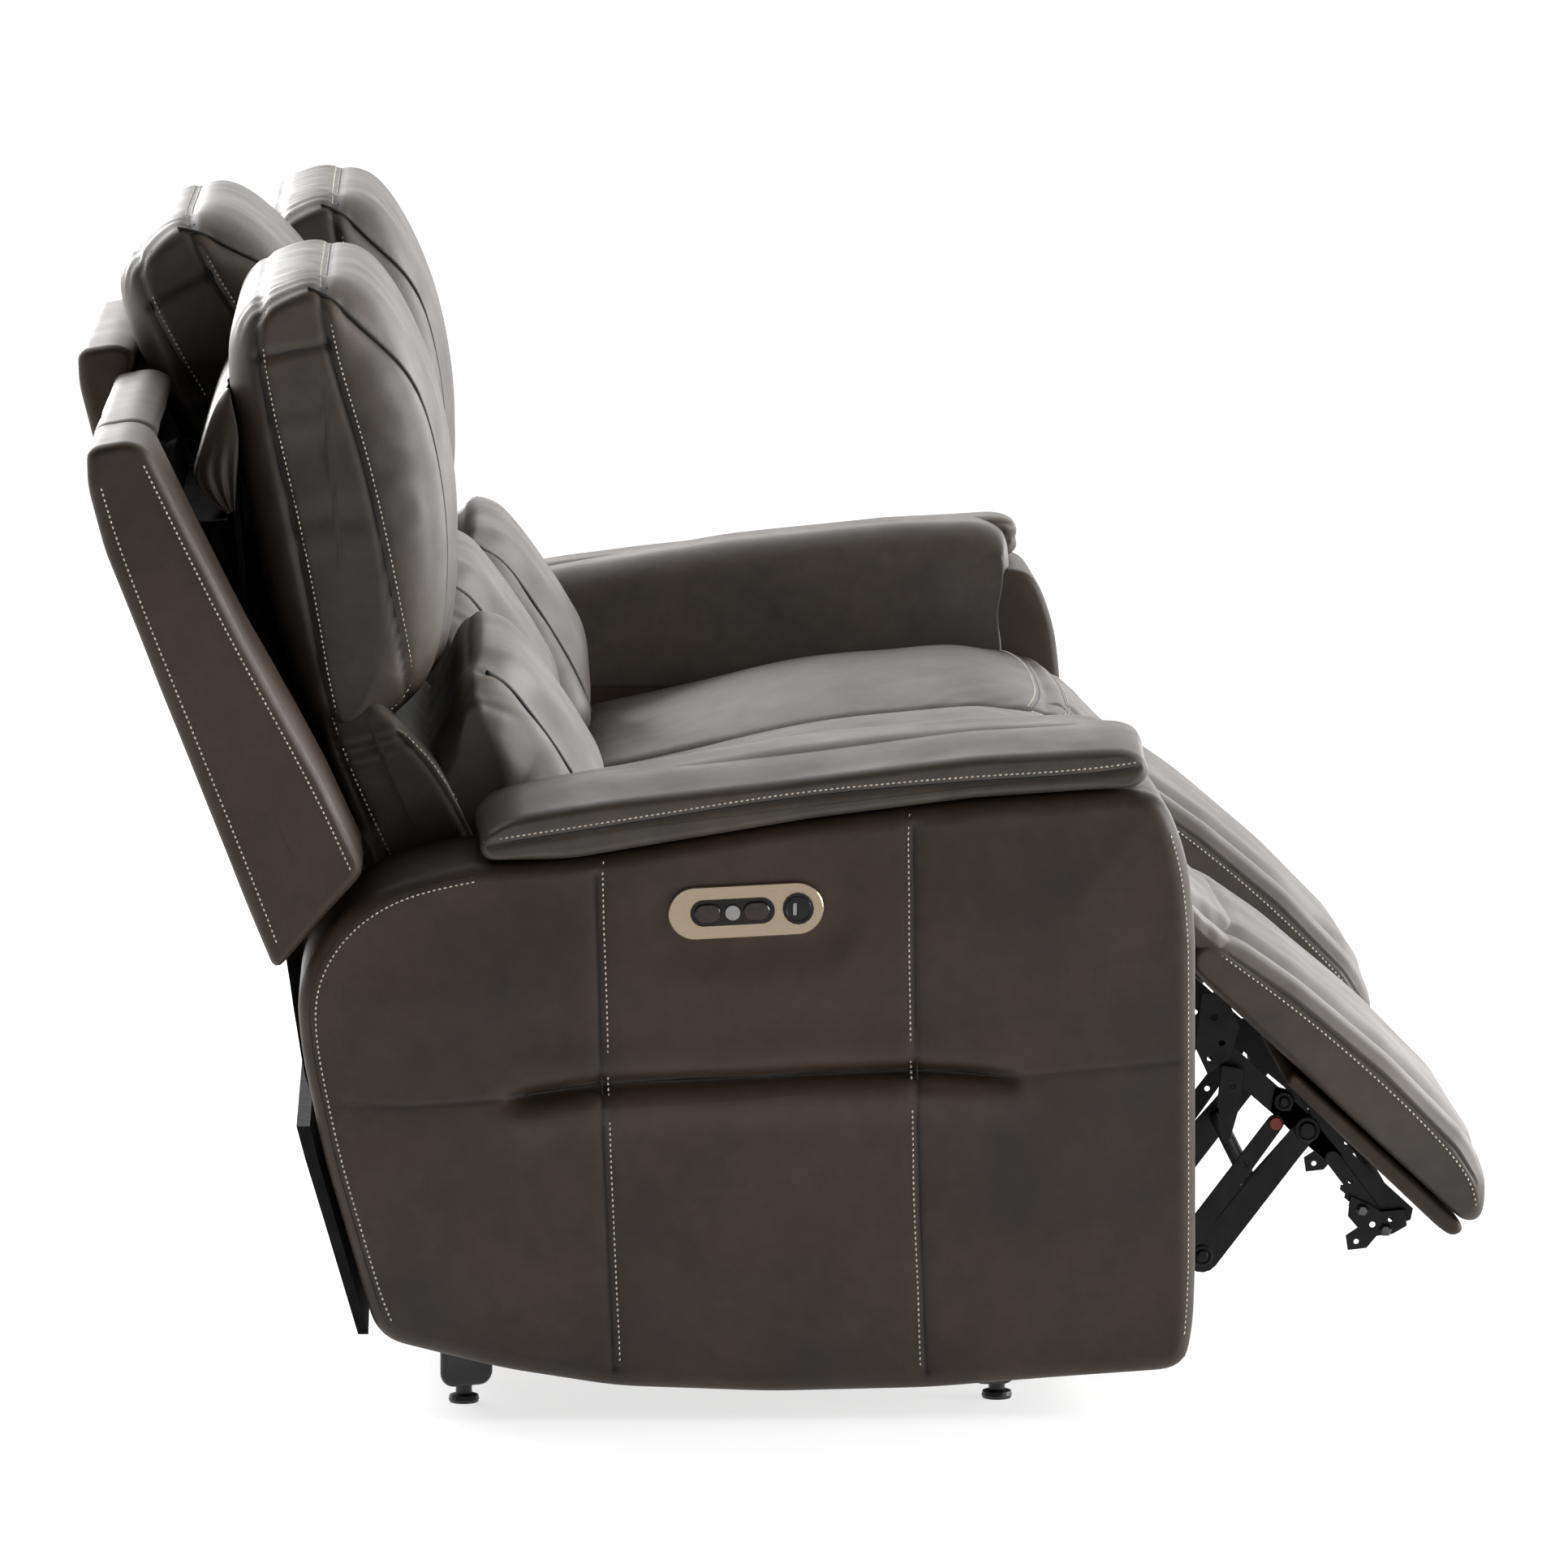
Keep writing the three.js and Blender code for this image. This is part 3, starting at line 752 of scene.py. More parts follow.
def arm_faces(columns, rows, rings, around):
    """Faces of the outer grid and of the rings, around points each, that follow it."""
    index = np.arange(columns * rows).reshape(columns, rows)
    loops = [np.concatenate([index[:-1, 0], index[-1, :-1], index[::-1, -1][:-1], index[0, ::-1][:-1]])]
    loops += [columns * rows + k * around + np.arange(around) for k in range(rings)]
    faces = []
    for i in range(columns - 1):
        for j in range(rows - 1):
            faces.append((index[i, j], index[i + 1, j], index[i + 1, j + 1], index[i, j + 1]))
    for first, second in zip(loops[:-1], loops[1:]):
        for k in range(around):
            n = (k + 1) % around
            faces.append((first[k], second[k], second[n], first[n]))
    faces.append(tuple(loops[-1][::-1]))
    return faces


def arm(side, sign):
    """One arm body: a padded outer panel with seams and a pinched tuck, rolled edges, a plain inner face."""
    grid, rim, shrunk = arm_grid()
    flat = grid.reshape(-1, 2)
    swell, seam = arm_swell(flat, shrunk, sign)
    rings = arm_rings(rim, shrunk)
    verts = np.vstack([np.column_stack([flat, OUTER_FACE + swell]), *rings])
    # Painted seam shade on the outer face, none on the rings behind it
    painted_seam_shade = np.concatenate([seam, np.zeros(len(verts) - len(seam))])
    faces = arm_faces(*grid.shape[:2], len(rings), len(rim))
    faces = [tuple(int(v) for v in (f if sign > 0 else f[::-1])) for f in faces]
    obj = solid(f"{side}_arm_leather", row(verts * [1, 1, sign]), faces, painted_seam_shade)
    return finished(obj, "base", ARM_HIDE, [f"{side}_arm"])


def flipped(points, sign, s):
    """A side-view line as (x, y, s) points on one side."""
    points = np.asarray(points, float)
    return np.column_stack([points, np.full(len(points), s * sign)])


def arm_stitching(sign, tree, threads, cords):
    """The dashed lines beside each arm seam, and dark cords in the seams and the tuck crease as painted
    shade.
    """
    outer = OUTER_FACE + 8
    for line, offset in ((REAR_SEAM, 6.0), (FRONT_SEAM, -6.0)):
        found, normals = trace(tree, SIDE, flipped(line, sign, outer), (0, 0, -sign))
        threads.stitch(tree, found, normals, offset * sign)
        cords.cord(found, normals, 0.8, 0.4)
    # A thicker dark cord in the tuck crease: painted crease shade
    crease = resample([(-250, 321), *TUCK[1:-1], (205, 337)], 40, closed=False)
    found, normals = trace(tree, SIDE, flipped(crease, sign, outer), (0, 0, -sign))
    cords.cord(found, normals, 1.6, 0.6)
    edge = arm_outline()
    rear = cut(edge, (-300, 545), (-393, 86))
    front = cut(edge, (392, 80), (375, 592))
    for line, inset, corded in ((rear, 15.0, False), (rear, 10.0, True), (front, 8.0, False)):
        along = np.gradient(line, axis=0)
        along /= np.linalg.norm(along, axis=1, keepdims=True)
        moved = line + np.column_stack([-along[:, 1], along[:, 0]]) * inset
        found, normals = trace(tree, SIDE, flipped(moved[::6], sign, outer), (0, 0, -sign))
        if corded:
            cords.cord(found, normals, 0.8)
        else:
            threads.stitch(tree, found, normals)


ARM_PAD_SIDE = [(-292, 549), (-208, 550), (25, 588), (180, 607), (297, 614.5), (336, 616), (350, 628),
                (345, 645), (327, 655), (186, 648), (29, 629), (-179, 605), (-262, 592), (-292, 574)]
PAD_SEAM = [(-289, 564), (-208, 576), (-130, 588), (-40, 602), (25, 611), (102, 618), (180, 624), (258, 628),
            (300, 631), (338, 637)]


def arm_pad(side, sign):
    """The thin padded cap on the arm, with its top panel seamed along the side."""
    skin = Skin(fillet(ARM_PAD_SIDE, 16.0), 1061.0, 915.0, (12, 10, 9, 8), 13.0,
                ((-240, 570), (300, 632)), 420, 7.0)
    top = smoothstep(0.2, 0.8, skin.facing((-0.15, 1, 0)))
    skin.push(11.0 * top * smoothstep(1063, 960, skin.s))
    wrinkle = noise(skin.pos, (170, 60, 60), 5 + sign) + 0.5 * noise(skin.pos, (60, 40, 40), 8 + sign)
    skin.push(top * wrinkle)
    gap = segment_distance(skin.pos[..., :2], PAD_SEAM)
    on_side = smoothstep(0.5, 0.9, np.abs(skin.facing((0, 0, 1))))
    skin.groove(gap + 60 * (1 - on_side), 4.0, 2.0)
    obj = skin.build(f"{side}_arm_pad_leather", SIDE, 0.0, sign < 0)
    return finished(obj, "base", HIDE, [f"{side}_arm_pad"])


INNER_ARM = [(-296, 470), (322, 470), (333, 500), (337, 600), (335, 640), (325, 656), (299, 665), (203, 663),
             (13, 644), (-179, 613), (-262, 598), (-294, 584)]


def inner_arm(side, sign):
    """The padded inner face of the arm, which rolls over the top in one soft curve."""
    skin = Skin(fillet(INNER_ARM, 20.0), 985.0, 834.2, (16, 12, 46, 8), 46.0,
                ((-250, 530), (290, 560)), 330, 9.0, cap=20)
    skin.push(1.4 * noise(skin.pos, (170, 90, 80), 71 + sign)
              + 0.5 * noise(skin.pos, (60, 50, 50), 73 + sign))
    obj = skin.build(f"{side}_inner_arm_leather", SIDE, 0.0, sign < 0)
    return finished(obj, "base", HIDE)


# ---------------------------------------------------------------- cushions

SEAT_SIDE = [(-190, 388), (338, 388), (346, 434), (380, 434), (391, 446), (387, 480), (366, 507), (331, 518),
             (250, 521), (104, 508), (-152, 460), (-190, 450)]
LUMBAR_SIDE = [(26, 0), (120, -16), (200, -36), (240, -36), (253, -12), (250, 40), (241, 100), (230, 150),
               (221, 182), (210, 204), (196, 214), (179, 207), (160, 184), (124, 154), (82, 138), (26, 140)]
HEAD_SIDE = [(104, -70), (64, -94), (28, -94), (6, -70), (-6, -10), (-22, 70), (-30, 150), (-34, 220),
             (-37, 270), (-31, 318), (-10, 345), (20, 358), (54, 364), (88, 352), (116, 318), (139, 266),
             (155, 207), (162, 133), (160, 69), (150, 8), (133, -42)]
HEAD_FRONT_SEAM = [(108, -96), (112, -43), (106, 21), (98, 102), (87, 184), (73, 249), (64, 298), (62, 335),
                   (66, 372)]
HEAD_REAR_SEAM = [(40, -96), (29, -46), (24, 34), (14, 130), (0, 228), (-6, 300), (0, 340), (8, 362)]
HEAD_CROSS_SEAM = [(-6, 290), (64, 297)]
HEAD_HEM = [(-36, 238), (-31, 212), (-14, 208), (4, 211)]
PIPE = 188.0
PIPE_PROUD = 2.2


def head_pipe(y):
    """Where the head's bolster piping runs: out to the corner at the top, in towards the middle below."""
    return PIPE + 74.0 * smoothstep(120, 352, y) ** 1.6


def lumbar_pipe(y):
    """Where the lumbar cushion's bolster piping runs."""
    return PIPE + 46.0 * smoothstep(140, 226, y) ** 1.4


def seat_cushion(name, body, node, centre, seed):
    """A seat: crowned top, soft wrinkles, a double cross seam at the front and two short side seams."""
    skin = Skin(fillet(SEAT_SIDE, 22.0), HALF, -HALF, (26, 14, 22, 12), 24.0,
                ((-120, 432), (320, 462)), 250, 8.0, (-PIPE, PIPE))
    up = smoothstep(0.25, 0.85, skin.facing((-0.1, 1, 0)))
    front = smoothstep(0.3, 0.9, skin.facing((1, 0.2, 0)))
    x, y, s = skin.pos[..., 0], skin.pos[..., 1], skin.s
    across = 1 - np.abs(s / skin.half) ** 2.2
    rise = 27.0 * smoothstep(-190, 60, x) * smoothstep(396, 250, x)
    skin.push(up * across * rise + 9.0 * front * across)
    wrinkle = noise(skin.pos + [0, 0, centre], (95, 70, 150), seed)
    wrinkle += 0.5 * noise(skin.pos, (38, 40, 70), seed + 1)
    skin.push(0.8 * wrinkle * up)
    rays = np.sin((x * 0.055 + np.abs(s) * 0.045 + 2.0 * noise(skin.pos, 90, seed + 2)) * 3.0)
    skin.push(up * 0.7 * rays * smoothstep(150, 262, np.abs(s)) * smoothstep(120, 330, x))
    cross = np.abs(x - 352 + 14 * (np.abs(s) / skin.half) ** 4)
    reach = smoothstep(440, 470, y)
    for shift, deep in ((0.0, 3.6), (24.0, 2.4)):
        skin.groove(np.abs(cross + shift - 2 * shift * (x > 352)) + 40 * (1 - reach), 5.5, deep)
    side = smoothstep(330, 356, x) * smoothstep(300, 380, y)
    skin.groove(np.abs(np.abs(s) - PIPE) + 50 * (1 - side), 6.0, 3.5)
    obj = skin.build(name, SIDE, centre)
    return finished(obj, body, HIDE, [node])


def lumbar_cushion(name, body, node, centre, plane, seed):
    """A lower back cushion: piped bolsters, a crowned centre and folds that radiate from under the head."""
    half = HALF - 3
    skin = Skin(fillet(LUMBAR_SIDE, 16.0), half, -half, (74, 26, 40, 16), 66.0,
                ((60, 60), (160, 70)), 230, 7.0, cap=24, dense=(165, 250))
    x, y, s = skin.pos[..., 0], skin.pos[..., 1], skin.s
    pipe = lumbar_pipe(y)
    front = smoothstep(0.15, 0.8, skin.facing((1, 0.25, 0)))
    centre_panel = smoothstep(pipe + 4, pipe - 80, np.abs(s))
    lift = smoothstep(-30, 60, y) * smoothstep(246, 190, y)
    skin.push(front * centre_panel * (17.0 + 8.0 * np.cos(s / 190.0 * math.pi / 2)) * lift)
    bolster = smoothstep(pipe - 4, pipe + 30, np.abs(s)) * smoothstep(HALF + 4, HALF - 24, np.abs(s))
    skin.push(front * bolster * 0.6)
    skin.groove(np.abs(np.abs(s) - pipe) + 60 * (1 - front), 6.0, 2.0)
    fan = np.arctan2(y - 262, 310 - np.abs(s))
    warp = noise(skin.pos, (90, 80, 80), seed)
    folds = np.sin(fan * 17.0 + 1.6 * warp) * smoothstep(PIPE - 20, PIPE + 30, np.abs(s))
    side = smoothstep(0.2, 0.7, np.abs(skin.facing((0.4, 0, 1))))
    skin.push(2.4 * folds * np.maximum(0.6 * front, side) * smoothstep(40, 150, y) * smoothstep(216, 190, y))
    skin.push(0.8 * front * noise(skin.pos, (90, 70, 110), seed + 3))
    obj = skin.build(name, plane, centre)
    return finished(obj, body, HIDE, [node])


def head_cushion(name, body, node, centre, plane, seed):
    """A head cushion: boxed sides with two stitched seams, a ruched top panel and a piped, crowned front."""
    skin = Skin(soft(HEAD_SIDE), HALF, -HALF, (66, 38, 24, 24), 62.0,
                ((58, 0), (56, 262)), 250, 7.0, cap=26, dense=(170, 270))
    x, y, s = skin.pos[..., 0], skin.pos[..., 1], skin.s
    wide = np.abs(s)
    pipe = head_pipe(y)
    front = smoothstep(0.35, 0.9, skin.facing((1, 0.15, 0)))
    skin.push(front * 12.0 * smoothstep(pipe + 4, pipe - 90, wide))
    bolster = smoothstep(pipe - 4, pipe + 30, wide) * smoothstep(HALF + 4, HALF - 24, wide)
    skin.push(smoothstep(0.1, 0.7, skin.facing((1, 0.15, 0))) * bolster * 1.4)
    top = smoothstep(0.35, 0.85, skin.facing((-0.1, 1, 0)))
    skin.push(top * 1.5 * (1 - (wide / skin.half) ** 2.5))
    ahead = smoothstep(0.0, 0.4, skin.facing((1, 0.5, 0))) * smoothstep(60, 84, x)
    skin.groove(np.abs(wide - pipe) + 60 * (1 - ahead), 6.0, 2.2)
    for place in (68.0, 2.0):
        over = np.abs(x - place) + 30 * (1 - smoothstep(0.2, 0.6, skin.facing((-0.3, 1, 0))))
        skin.groove(over, 5.0, 2.2)
    for line in (HEAD_FRONT_SEAM, HEAD_REAR_SEAM, HEAD_CROSS_SEAM):
        gap = segment_distance(skin.pos[..., :2], rounded(line))
        skin.groove(gap + 30 * (1 - smoothstep(185, 235, wide)), 5.0, 2.6)
    warp = noise(skin.pos, (50, 70, 80), seed)
    ruche = np.sin(s * 0.40 + 3.0 * warp + 0.05 * x) * smoothstep(74, 50, x) * smoothstep(295, 335, y)
    skin.push(0.8 * ruche + 0.6 * top * warp)
    flat = smoothstep(0.7, 0.98, np.abs(skin.facing((0, 0, 1))))
    boxing = flat * smoothstep(0, 25, segment_distance(skin.pos[..., :2], HEAD_FRONT_SEAM))
    lateral = np.sin(y * 0.12 + 3.4 * noise(skin.pos, (60, 50, 60), seed + 2) + 0.02 * x)
    creased = smoothstep(60, 130, y) * smoothstep(260, 200, y)
    skin.push(boxing * (1.2 * lateral * creased + 0.8 * noise(skin.pos, (70, 60, 60), seed + 4)))
    skin.push(front * 0.5 * noise(skin.pos, (130, 160, 130), seed + 5))
    obj = skin.build(name, plane, centre)
    return finished(obj, body, HIDE, [node])


def shell(name, body, node, outline, right, left, plane, spine, seed, mirror=False):
    """A leather-covered back panel, tight over its board."""
    skin = Skin(fillet(outline, 12.0), right, left, (10, 12, 10, 10), 11.0, spine, 300, 14.0)
    skin.push(1.6 * noise(skin.pos, (120, 130, 120), seed) + 0.5 * noise(skin.pos, (50, 60, 60), seed + 1))
    obj = skin.build(name, plane, 0.0, mirror)
    return finished(obj, body, ARM_HIDE, [node] if node else [])


SHELL_WING = [(-78, 44), (38, 101), (34, 191), (16, 350), (7.4, 471), (2.4, 556), (-12, 570), (-52, 578),
              (-65, 543), (-73.5, 480), (-76, 330), (-78, 127)]
SHELL_SHEET = [(-78, 44), (-52, 44), (-50, 500), (-14, 534), (1.5, 545), (2.4, 556), (-12, 570), (-52, 578),
               (-65, 543), (-73.5, 480), (-76, 330), (-78, 127)]
MIDDLE_SHELL = [(-92, -125), (-36, -125), (-16, -20), (-16, 500), (-12, 530), (1.5, 545), (2.4, 556),
                (-12, 570), (-52, 578), (-65, 543), (-73.5, 480), (-76, 330), (-78, 60)]
MIDDLE_FRONT = [(346, 62), (384, 62), (390, 72), (391, 404), (386, 409), (346, 409)]
WING_REAR_STITCH = [(-66, 70), (-64, 127), (-62, 330), (-60, 480), (-53, 540)]
WING_FRONT_STITCH = [(26, 108), (23, 191), (5, 350), (-3.5, 471), (-8, 545)]
WING_TOP_SEAM = [(-62, 552), (-52, 572), (-12, 564), (0, 550)]
PAD_SIDE = [(38, -14), (60, 4), (150, 16), (265, 20), (369, 14), (414, 1), (432, -16), (436, -30),
            (426, -41), (300, -40), (180, -38), (70, -38), (46, -34)]
BOARD_SIDE = [(196, -43), (426, -43), (433, -50), (427, -60), (410, -62), (198, -57)]
PAD_EDGE_SEAM = [(44, -2), (150, 9), (266, 13), (369, 8), (418, -4)]
PAD_EDGE_STITCH = [(48, -8), (150, 4), (266, 8), (368, 3), (416, -8), (427, -24)]
PAD_PIPE = [(70, 26), (150, 40), (265, 44), (369, 38), (410, 22), (430, 6)]


def footrest_pad(side, body, centre, seed):
    """The footrest's padded top: a boxed edge, two lengthwise seams and a wrinkled, crowned middle."""
    skin = Skin(fillet(PAD_SIDE, 12.0), HALF, -HALF, (13, 8, 8, 8), 15.0,
                ((80, -16), (400, -20)), 260, 8.0, (-PIPE, PIPE))
    t, h, s = skin.pos[..., 0], skin.pos[..., 1], skin.s
    up = smoothstep(0.2, 0.8, skin.facing((0.1, 1, 0)))
    panel = smoothstep(PIPE + 4, PIPE - 50, np.abs(s))
    rim = smoothstep(PIPE, PIPE + 24, np.abs(s)) * smoothstep(HALF, HALF - 24, np.abs(s))
    skin.push(up * (16.0 * panel + 10.0 * rim) * smoothstep(30, 90, t) * smoothstep(440, 380, t))
    skin.groove(np.abs(np.abs(s) - PIPE) + 60 * (1 - up), 6.0, 5.0)
    wrinkle = 0.9 * noise(skin.pos, (110, 60, 130), seed) + 0.3 * noise(skin.pos, (40, 40, 70), seed + 1)
    skin.push(up * wrinkle)
    end = smoothstep(0.3, 0.9, skin.facing((1, 0.1, 0)))
    skin.push(end * 3.0 * (1 - np.abs(s / HALF) ** 3))
    gap = segment_distance(skin.pos[..., :2], PAD_EDGE_SEAM)
    skin.groove(gap + 40 * (1 - smoothstep(0.4, 0.8, np.abs(skin.facing((0, 0, 1))))), 3.6, 1.8)
    obj = skin.build(f"{side}_footrest_leather", REST, centre)
    return finished(obj, body, HIDE, [f"{side}_footrest_pad"])


def footrest_board(side, body, centre, seed):
    """The upholstered board under the pad."""
    skin = Skin(fillet(BOARD_SIDE, 7.0), HALF - 6, -HALF + 6, (6, 5, 5, 5), 7.0,
                ((212, -52), (412, -54)), 160, 14.0)
    skin.push(0.6 * noise(skin.pos, (70, 40, 90), seed))
    obj = skin.build(f"{side}_footrest_board_cover", REST, centre)
    return finished(obj, body, ARM_HIDE, [f"{side}_footrest_board"])


BRIDGE = [(352, 500), (374, 490), (392, 474), (408, 456), (424, 441), (450, 420), (474, 398), (466, 384),
          (440, 402), (414, 422), (396, 436), (378, 450), (366, 462), (352, 478)]


def bridge(side, centre, seed):
    """The leather that joins seat and footrest in one slope and bends at the knee."""
    skin = Skin(fillet(BRIDGE, 6.0), HALF - 3, -HALF + 3, (7, 5, 6, 5), 16.0,
                ((366, 484), (462, 394)), 150, 8.0, (-PIPE, PIPE))
    s = skin.s
    up = smoothstep(0.2, 0.8, skin.facing((0.7, 0.8, 0)))
    panel = smoothstep(PIPE + 4, PIPE - 50, np.abs(s))
    rim = smoothstep(PIPE, PIPE + 24, np.abs(s)) * smoothstep(HALF, HALF - 24, np.abs(s))
    skin.push(up * (15.0 * panel + 7.0 * rim))
    skin.groove(np.abs(np.abs(s) - PIPE) + 60 * (1 - up), 6.0, 5.0)
    skin.push(up * (0.6 * noise(skin.pos, (40, 60, 90), seed) + 0.2 * np.sin(skin.pos[..., 0] * 0.35)))
    obj = skin.build(f"{side}_knee_leather", SIDE, centre)
    obj.data.materials.append(HIDE)
    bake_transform(obj)
    return obj


# ---------------------------------------------------------------- plates, pins and small hard parts

# Plates of the linkage: an outline, then holes as (centre, radius)
LINK_SPREAD = 214.0
LINK_THICKNESS = 3.0
RED_PIN = (498, 241)
STRAP_HOLES = ((28, 8, 3.6), (44, -8, 3.2), (62, 7, 4.4), (92, -8, 4.0), (104, 8, 4.0), (132, 0, 5.0))
UPPER_BRACKET = ([(424, 372), (446, 372), (462, 338), (452, 306), (430, 292), (418, 318)],
                 [((436, 348), 4.0), ((444, 322), 3.4), ((432, 306), 3.0)])
HANGER = ([(444, 300), (466, 296), (462, 262), (452, 226), (446, 226), (440, 264)], [((455, 280), 3.6)])
CRANK = ([(498, 276), (520, 270), (540, 238), (566, 206), (556, 196), (520, 226), (494, 252)],
         [((512, 254), 3.0)])
END_PLATE = ([(574, 166), (592, 158), (604, 150), (628, 152), (630, 136), (616, 128), (600, 126),
              (590, 114), (572, 112), (570, 126), (582, 134), (572, 146)],
             [((580, 120), 3.2), ((596, 137), 3.6), ((614, 142), 3.0)])


def circle(centre, radius):
    turns = np.arange(CIRCLE_POINTS) * 2 * math.pi / CIRCLE_POINTS
    return np.array(centre) + radius * np.column_stack([np.cos(turns), np.sin(turns)])


def capsule_outline(start, end, radius, far_radius=None):
    """The outline of a strap with round ends, tapered if far_radius is given."""
    far_radius = radius if far_radius is None else far_radius
    start, end = np.array(start, float), np.array(end, float)
    angle = math.atan2(*(end - start)[::-1])
    right = [start + radius * np.array([math.cos(angle + a), math.sin(angle + a)])
             for a in np.linspace(math.pi / 2, 3 * math.pi / 2, STRAP_END_POINTS)]
    left = [end + far_radius * np.array([math.cos(angle + a), math.sin(angle + a)])
            for a in np.linspace(-math.pi / 2, math.pi / 2, STRAP_END_POINTS)]
    return np.array(right + left)


def plate(name, outline, holes, s, thickness=LINK_THICKNESS, bevel=0.5):
    """A flat plate with round holes, bevelled, centred on s."""
    curve = bpy.data.curves.new(name, "CURVE")
    curve.dimensions = "2D"
    curve.fill_mode = "BOTH"
    curve.extrude = thickness / 2 - bevel
    curve.bevel_depth = bevel
    curve.bevel_resolution = 1
    for ring in [np.array(outline, float)] + [circle(c, r) for c, r in holes]:
        spline = curve.splines.new("POLY")
        spline.points.add(len(ring) - 1)
        for point, (x, y) in zip(spline.points, ring):
            point.co = (x, y, 0.0, 1.0)
        spline.use_cyclic_u = True
    made = bpy.data.objects.new(name, curve)
    bpy.context.scene.collection.objects.link(made)
    mesh = bpy.data.meshes.new_from_object(made.evaluated_get(bpy.context.evaluated_depsgraph_get()))
    bpy.data.objects.remove(made)
    co = np.zeros(len(mesh.vertices) * 3)
    mesh.vertices.foreach_get("co", co)
    placed = row(co.reshape(-1, 3) + [0, 0, s])
    mesh.vertices.foreach_set("co", placed.ravel())
    mesh.name = name
    mesh.update()
    obj = bpy.data.objects.new(name, mesh)
    bpy.context.scene.collection.objects.link(obj)
    return obj


def turned(name, centre, profile, s, steps=28):
    """A turned part along s: profile is (radius, offset along s) pairs."""
    bm = bmesh.new()
    turns = np.arange(steps) * 2 * math.pi / steps
    rings = []
    for radius, offset in profile:
        points = np.column_stack([centre[0] + radius * np.cos(turns), centre[1] + radius * np.sin(turns),
                                  np.full(steps, s + offset)])
        rings.append([bm.verts.new(p) for p in row(points)])
    for first, second in zip(rings[:-1], rings[1:]):
        for k in range(steps):
            n = (k + 1) % steps
            bm.faces.new((first[k], first[n], second[n], second[k]))
    bm.faces.new(rings[0][::-1])
    bm.faces.new(rings[-1])
    bmesh.ops.recalc_face_normals(bm, faces=bm.faces)
    mesh = bpy.data.meshes.new(name)
    bm.to_mesh(mesh)
    bm.free()
    for polygon in mesh.polygons:
        polygon.use_smooth = len(polygon.vertices) == 4
    obj = bpy.data.objects.new(name, mesh)
    bpy.context.scene.collection.objects.link(obj)
    return obj


def joined(name, parts):
    """One object from several meshes that share a material."""
    mesh = bpy.data.meshes.new(name)
    bm = bmesh.new()
    for part in parts:
        bm.from_mesh(part.data)
        bpy.data.objects.remove(part)
    bm.to_mesh(mesh)
    bm.free()
    obj = bpy.data.objects.new(name, mesh)
    bpy.context.scene.collection.objects.link(obj)
    return obj


def hub(centre, s, radius):
    """A riveted pivot with a ringed washer."""
    profile = [(radius, -3), (radius, 2.2), (radius - 1, 3), (radius - 3.4, 3), (radius - 3.8, 2.4),
               (radius - 5.0, 2.4), (radius - 5.4, 4.2), (radius - 6.6, 4.9)]
    return turned("hub", centre, profile, s)


def bolt(centre, s):
    """A hexagon head over its flange."""
    return turned("bolt", centre, [(6.8, -2), (6.8, 0.4), (5.2, 0.8), (5.2, 3.2), (4.3, 4.0)], s, steps=6)


def straps(s, out):
    """The two straps of the parallelogram on one side of a seat."""
    along = np.array(BOARD_PIVOT) - LINK_ELBOW
    step = along / np.linalg.norm(along)
    across = np.array([-step[1], step[0]])
    holes = [(LINK_ELBOW + step * d + across * o, radius) for d, o, radius in STRAP_HOLES]
    first = capsule_outline(LINK_ELBOW, BOARD_PIVOT, 17.0, 11.0)
    second = capsule_outline(np.array(LINK_ELBOW) + (-16, 14), RED_PIN, 10.0, 8.0)
    return [plate("strap", first, holes, s + 3.0 * out),
            plate("strap", second, [((468, 199.5), 3.4)], s + 8.0 * out)]


def footrest_plates(s, out):
    """The bracket, hanger, crank and latch plates under one side of a footrest."""
    tail = capsule_outline((556, 204), (598, 148), 7.0)
    teeth = [(562 + 2.2 * k + (0 if k % 2 else 3.0), 176 - 4.2 * k) for k in range(9)]
    return [plate("upper", *UPPER_BRACKET, s + 7 * out),
            plate("hanger", *HANGER, s + 13.0 * out),
            hub(BOARD_PIVOT, s + 6.0 * out, 13.0),
            hub((507, 262), s + 2.0 * out, 10.0),
            plate("crank", *CRANK, s - 2.0 * out),
            plate("tail", tail, [((574, 180), 2.8)], s + 1.0 * out),
            plate("end", *END_PLATE, s + 5.0 * out),
            plate("comb", [*teeth, (592, 142), (578, 176)], [], s - 1.0 * out, 2.4, 0.3)]


def linkage(side, sign):
    """Straps, hubs and brackets seen between arm and footrest, on the bodies that they move with."""
    ottoman, lower, footrest, reds, bolts = [], [], [], [], []
    for face in (1, -1):
        s = sign * (SEAT_PITCH + LINK_SPREAD * face)
        out = sign * face
        ottoman += straps(s, out)
        lower.append(hub(LINK_ELBOW, s + 5.0 * out, 11.0))
        footrest += footrest_plates(s, out)
        reds.append(turned("red", RED_PIN, [(6.5, -1.7), (6.5, 1.2), (5.6, 2.0)], s + 11.5 * out))
        bolts += [bolt(c, s + 8.0 * out) for c in ((609, 132), (586, 152))]
    for name, parts, body, material in (("link_straps", ottoman, "ottoman_link_pair", STEEL),
                                        ("link_elbow_hubs", lower, "lower_link_pair", STEEL),
                                        ("link_brackets", footrest, "footrest", STEEL),
                                        ("red_bushings", reds, "ottoman_link_pair", RED),
                                        ("link_bolts", bolts, "footrest", BRIGHT_STEEL)):
        finished(joined(f"{side}_{name}", parts), f"{side}_{body}", material)


# ---------------------------------------------------------------- cloths behind

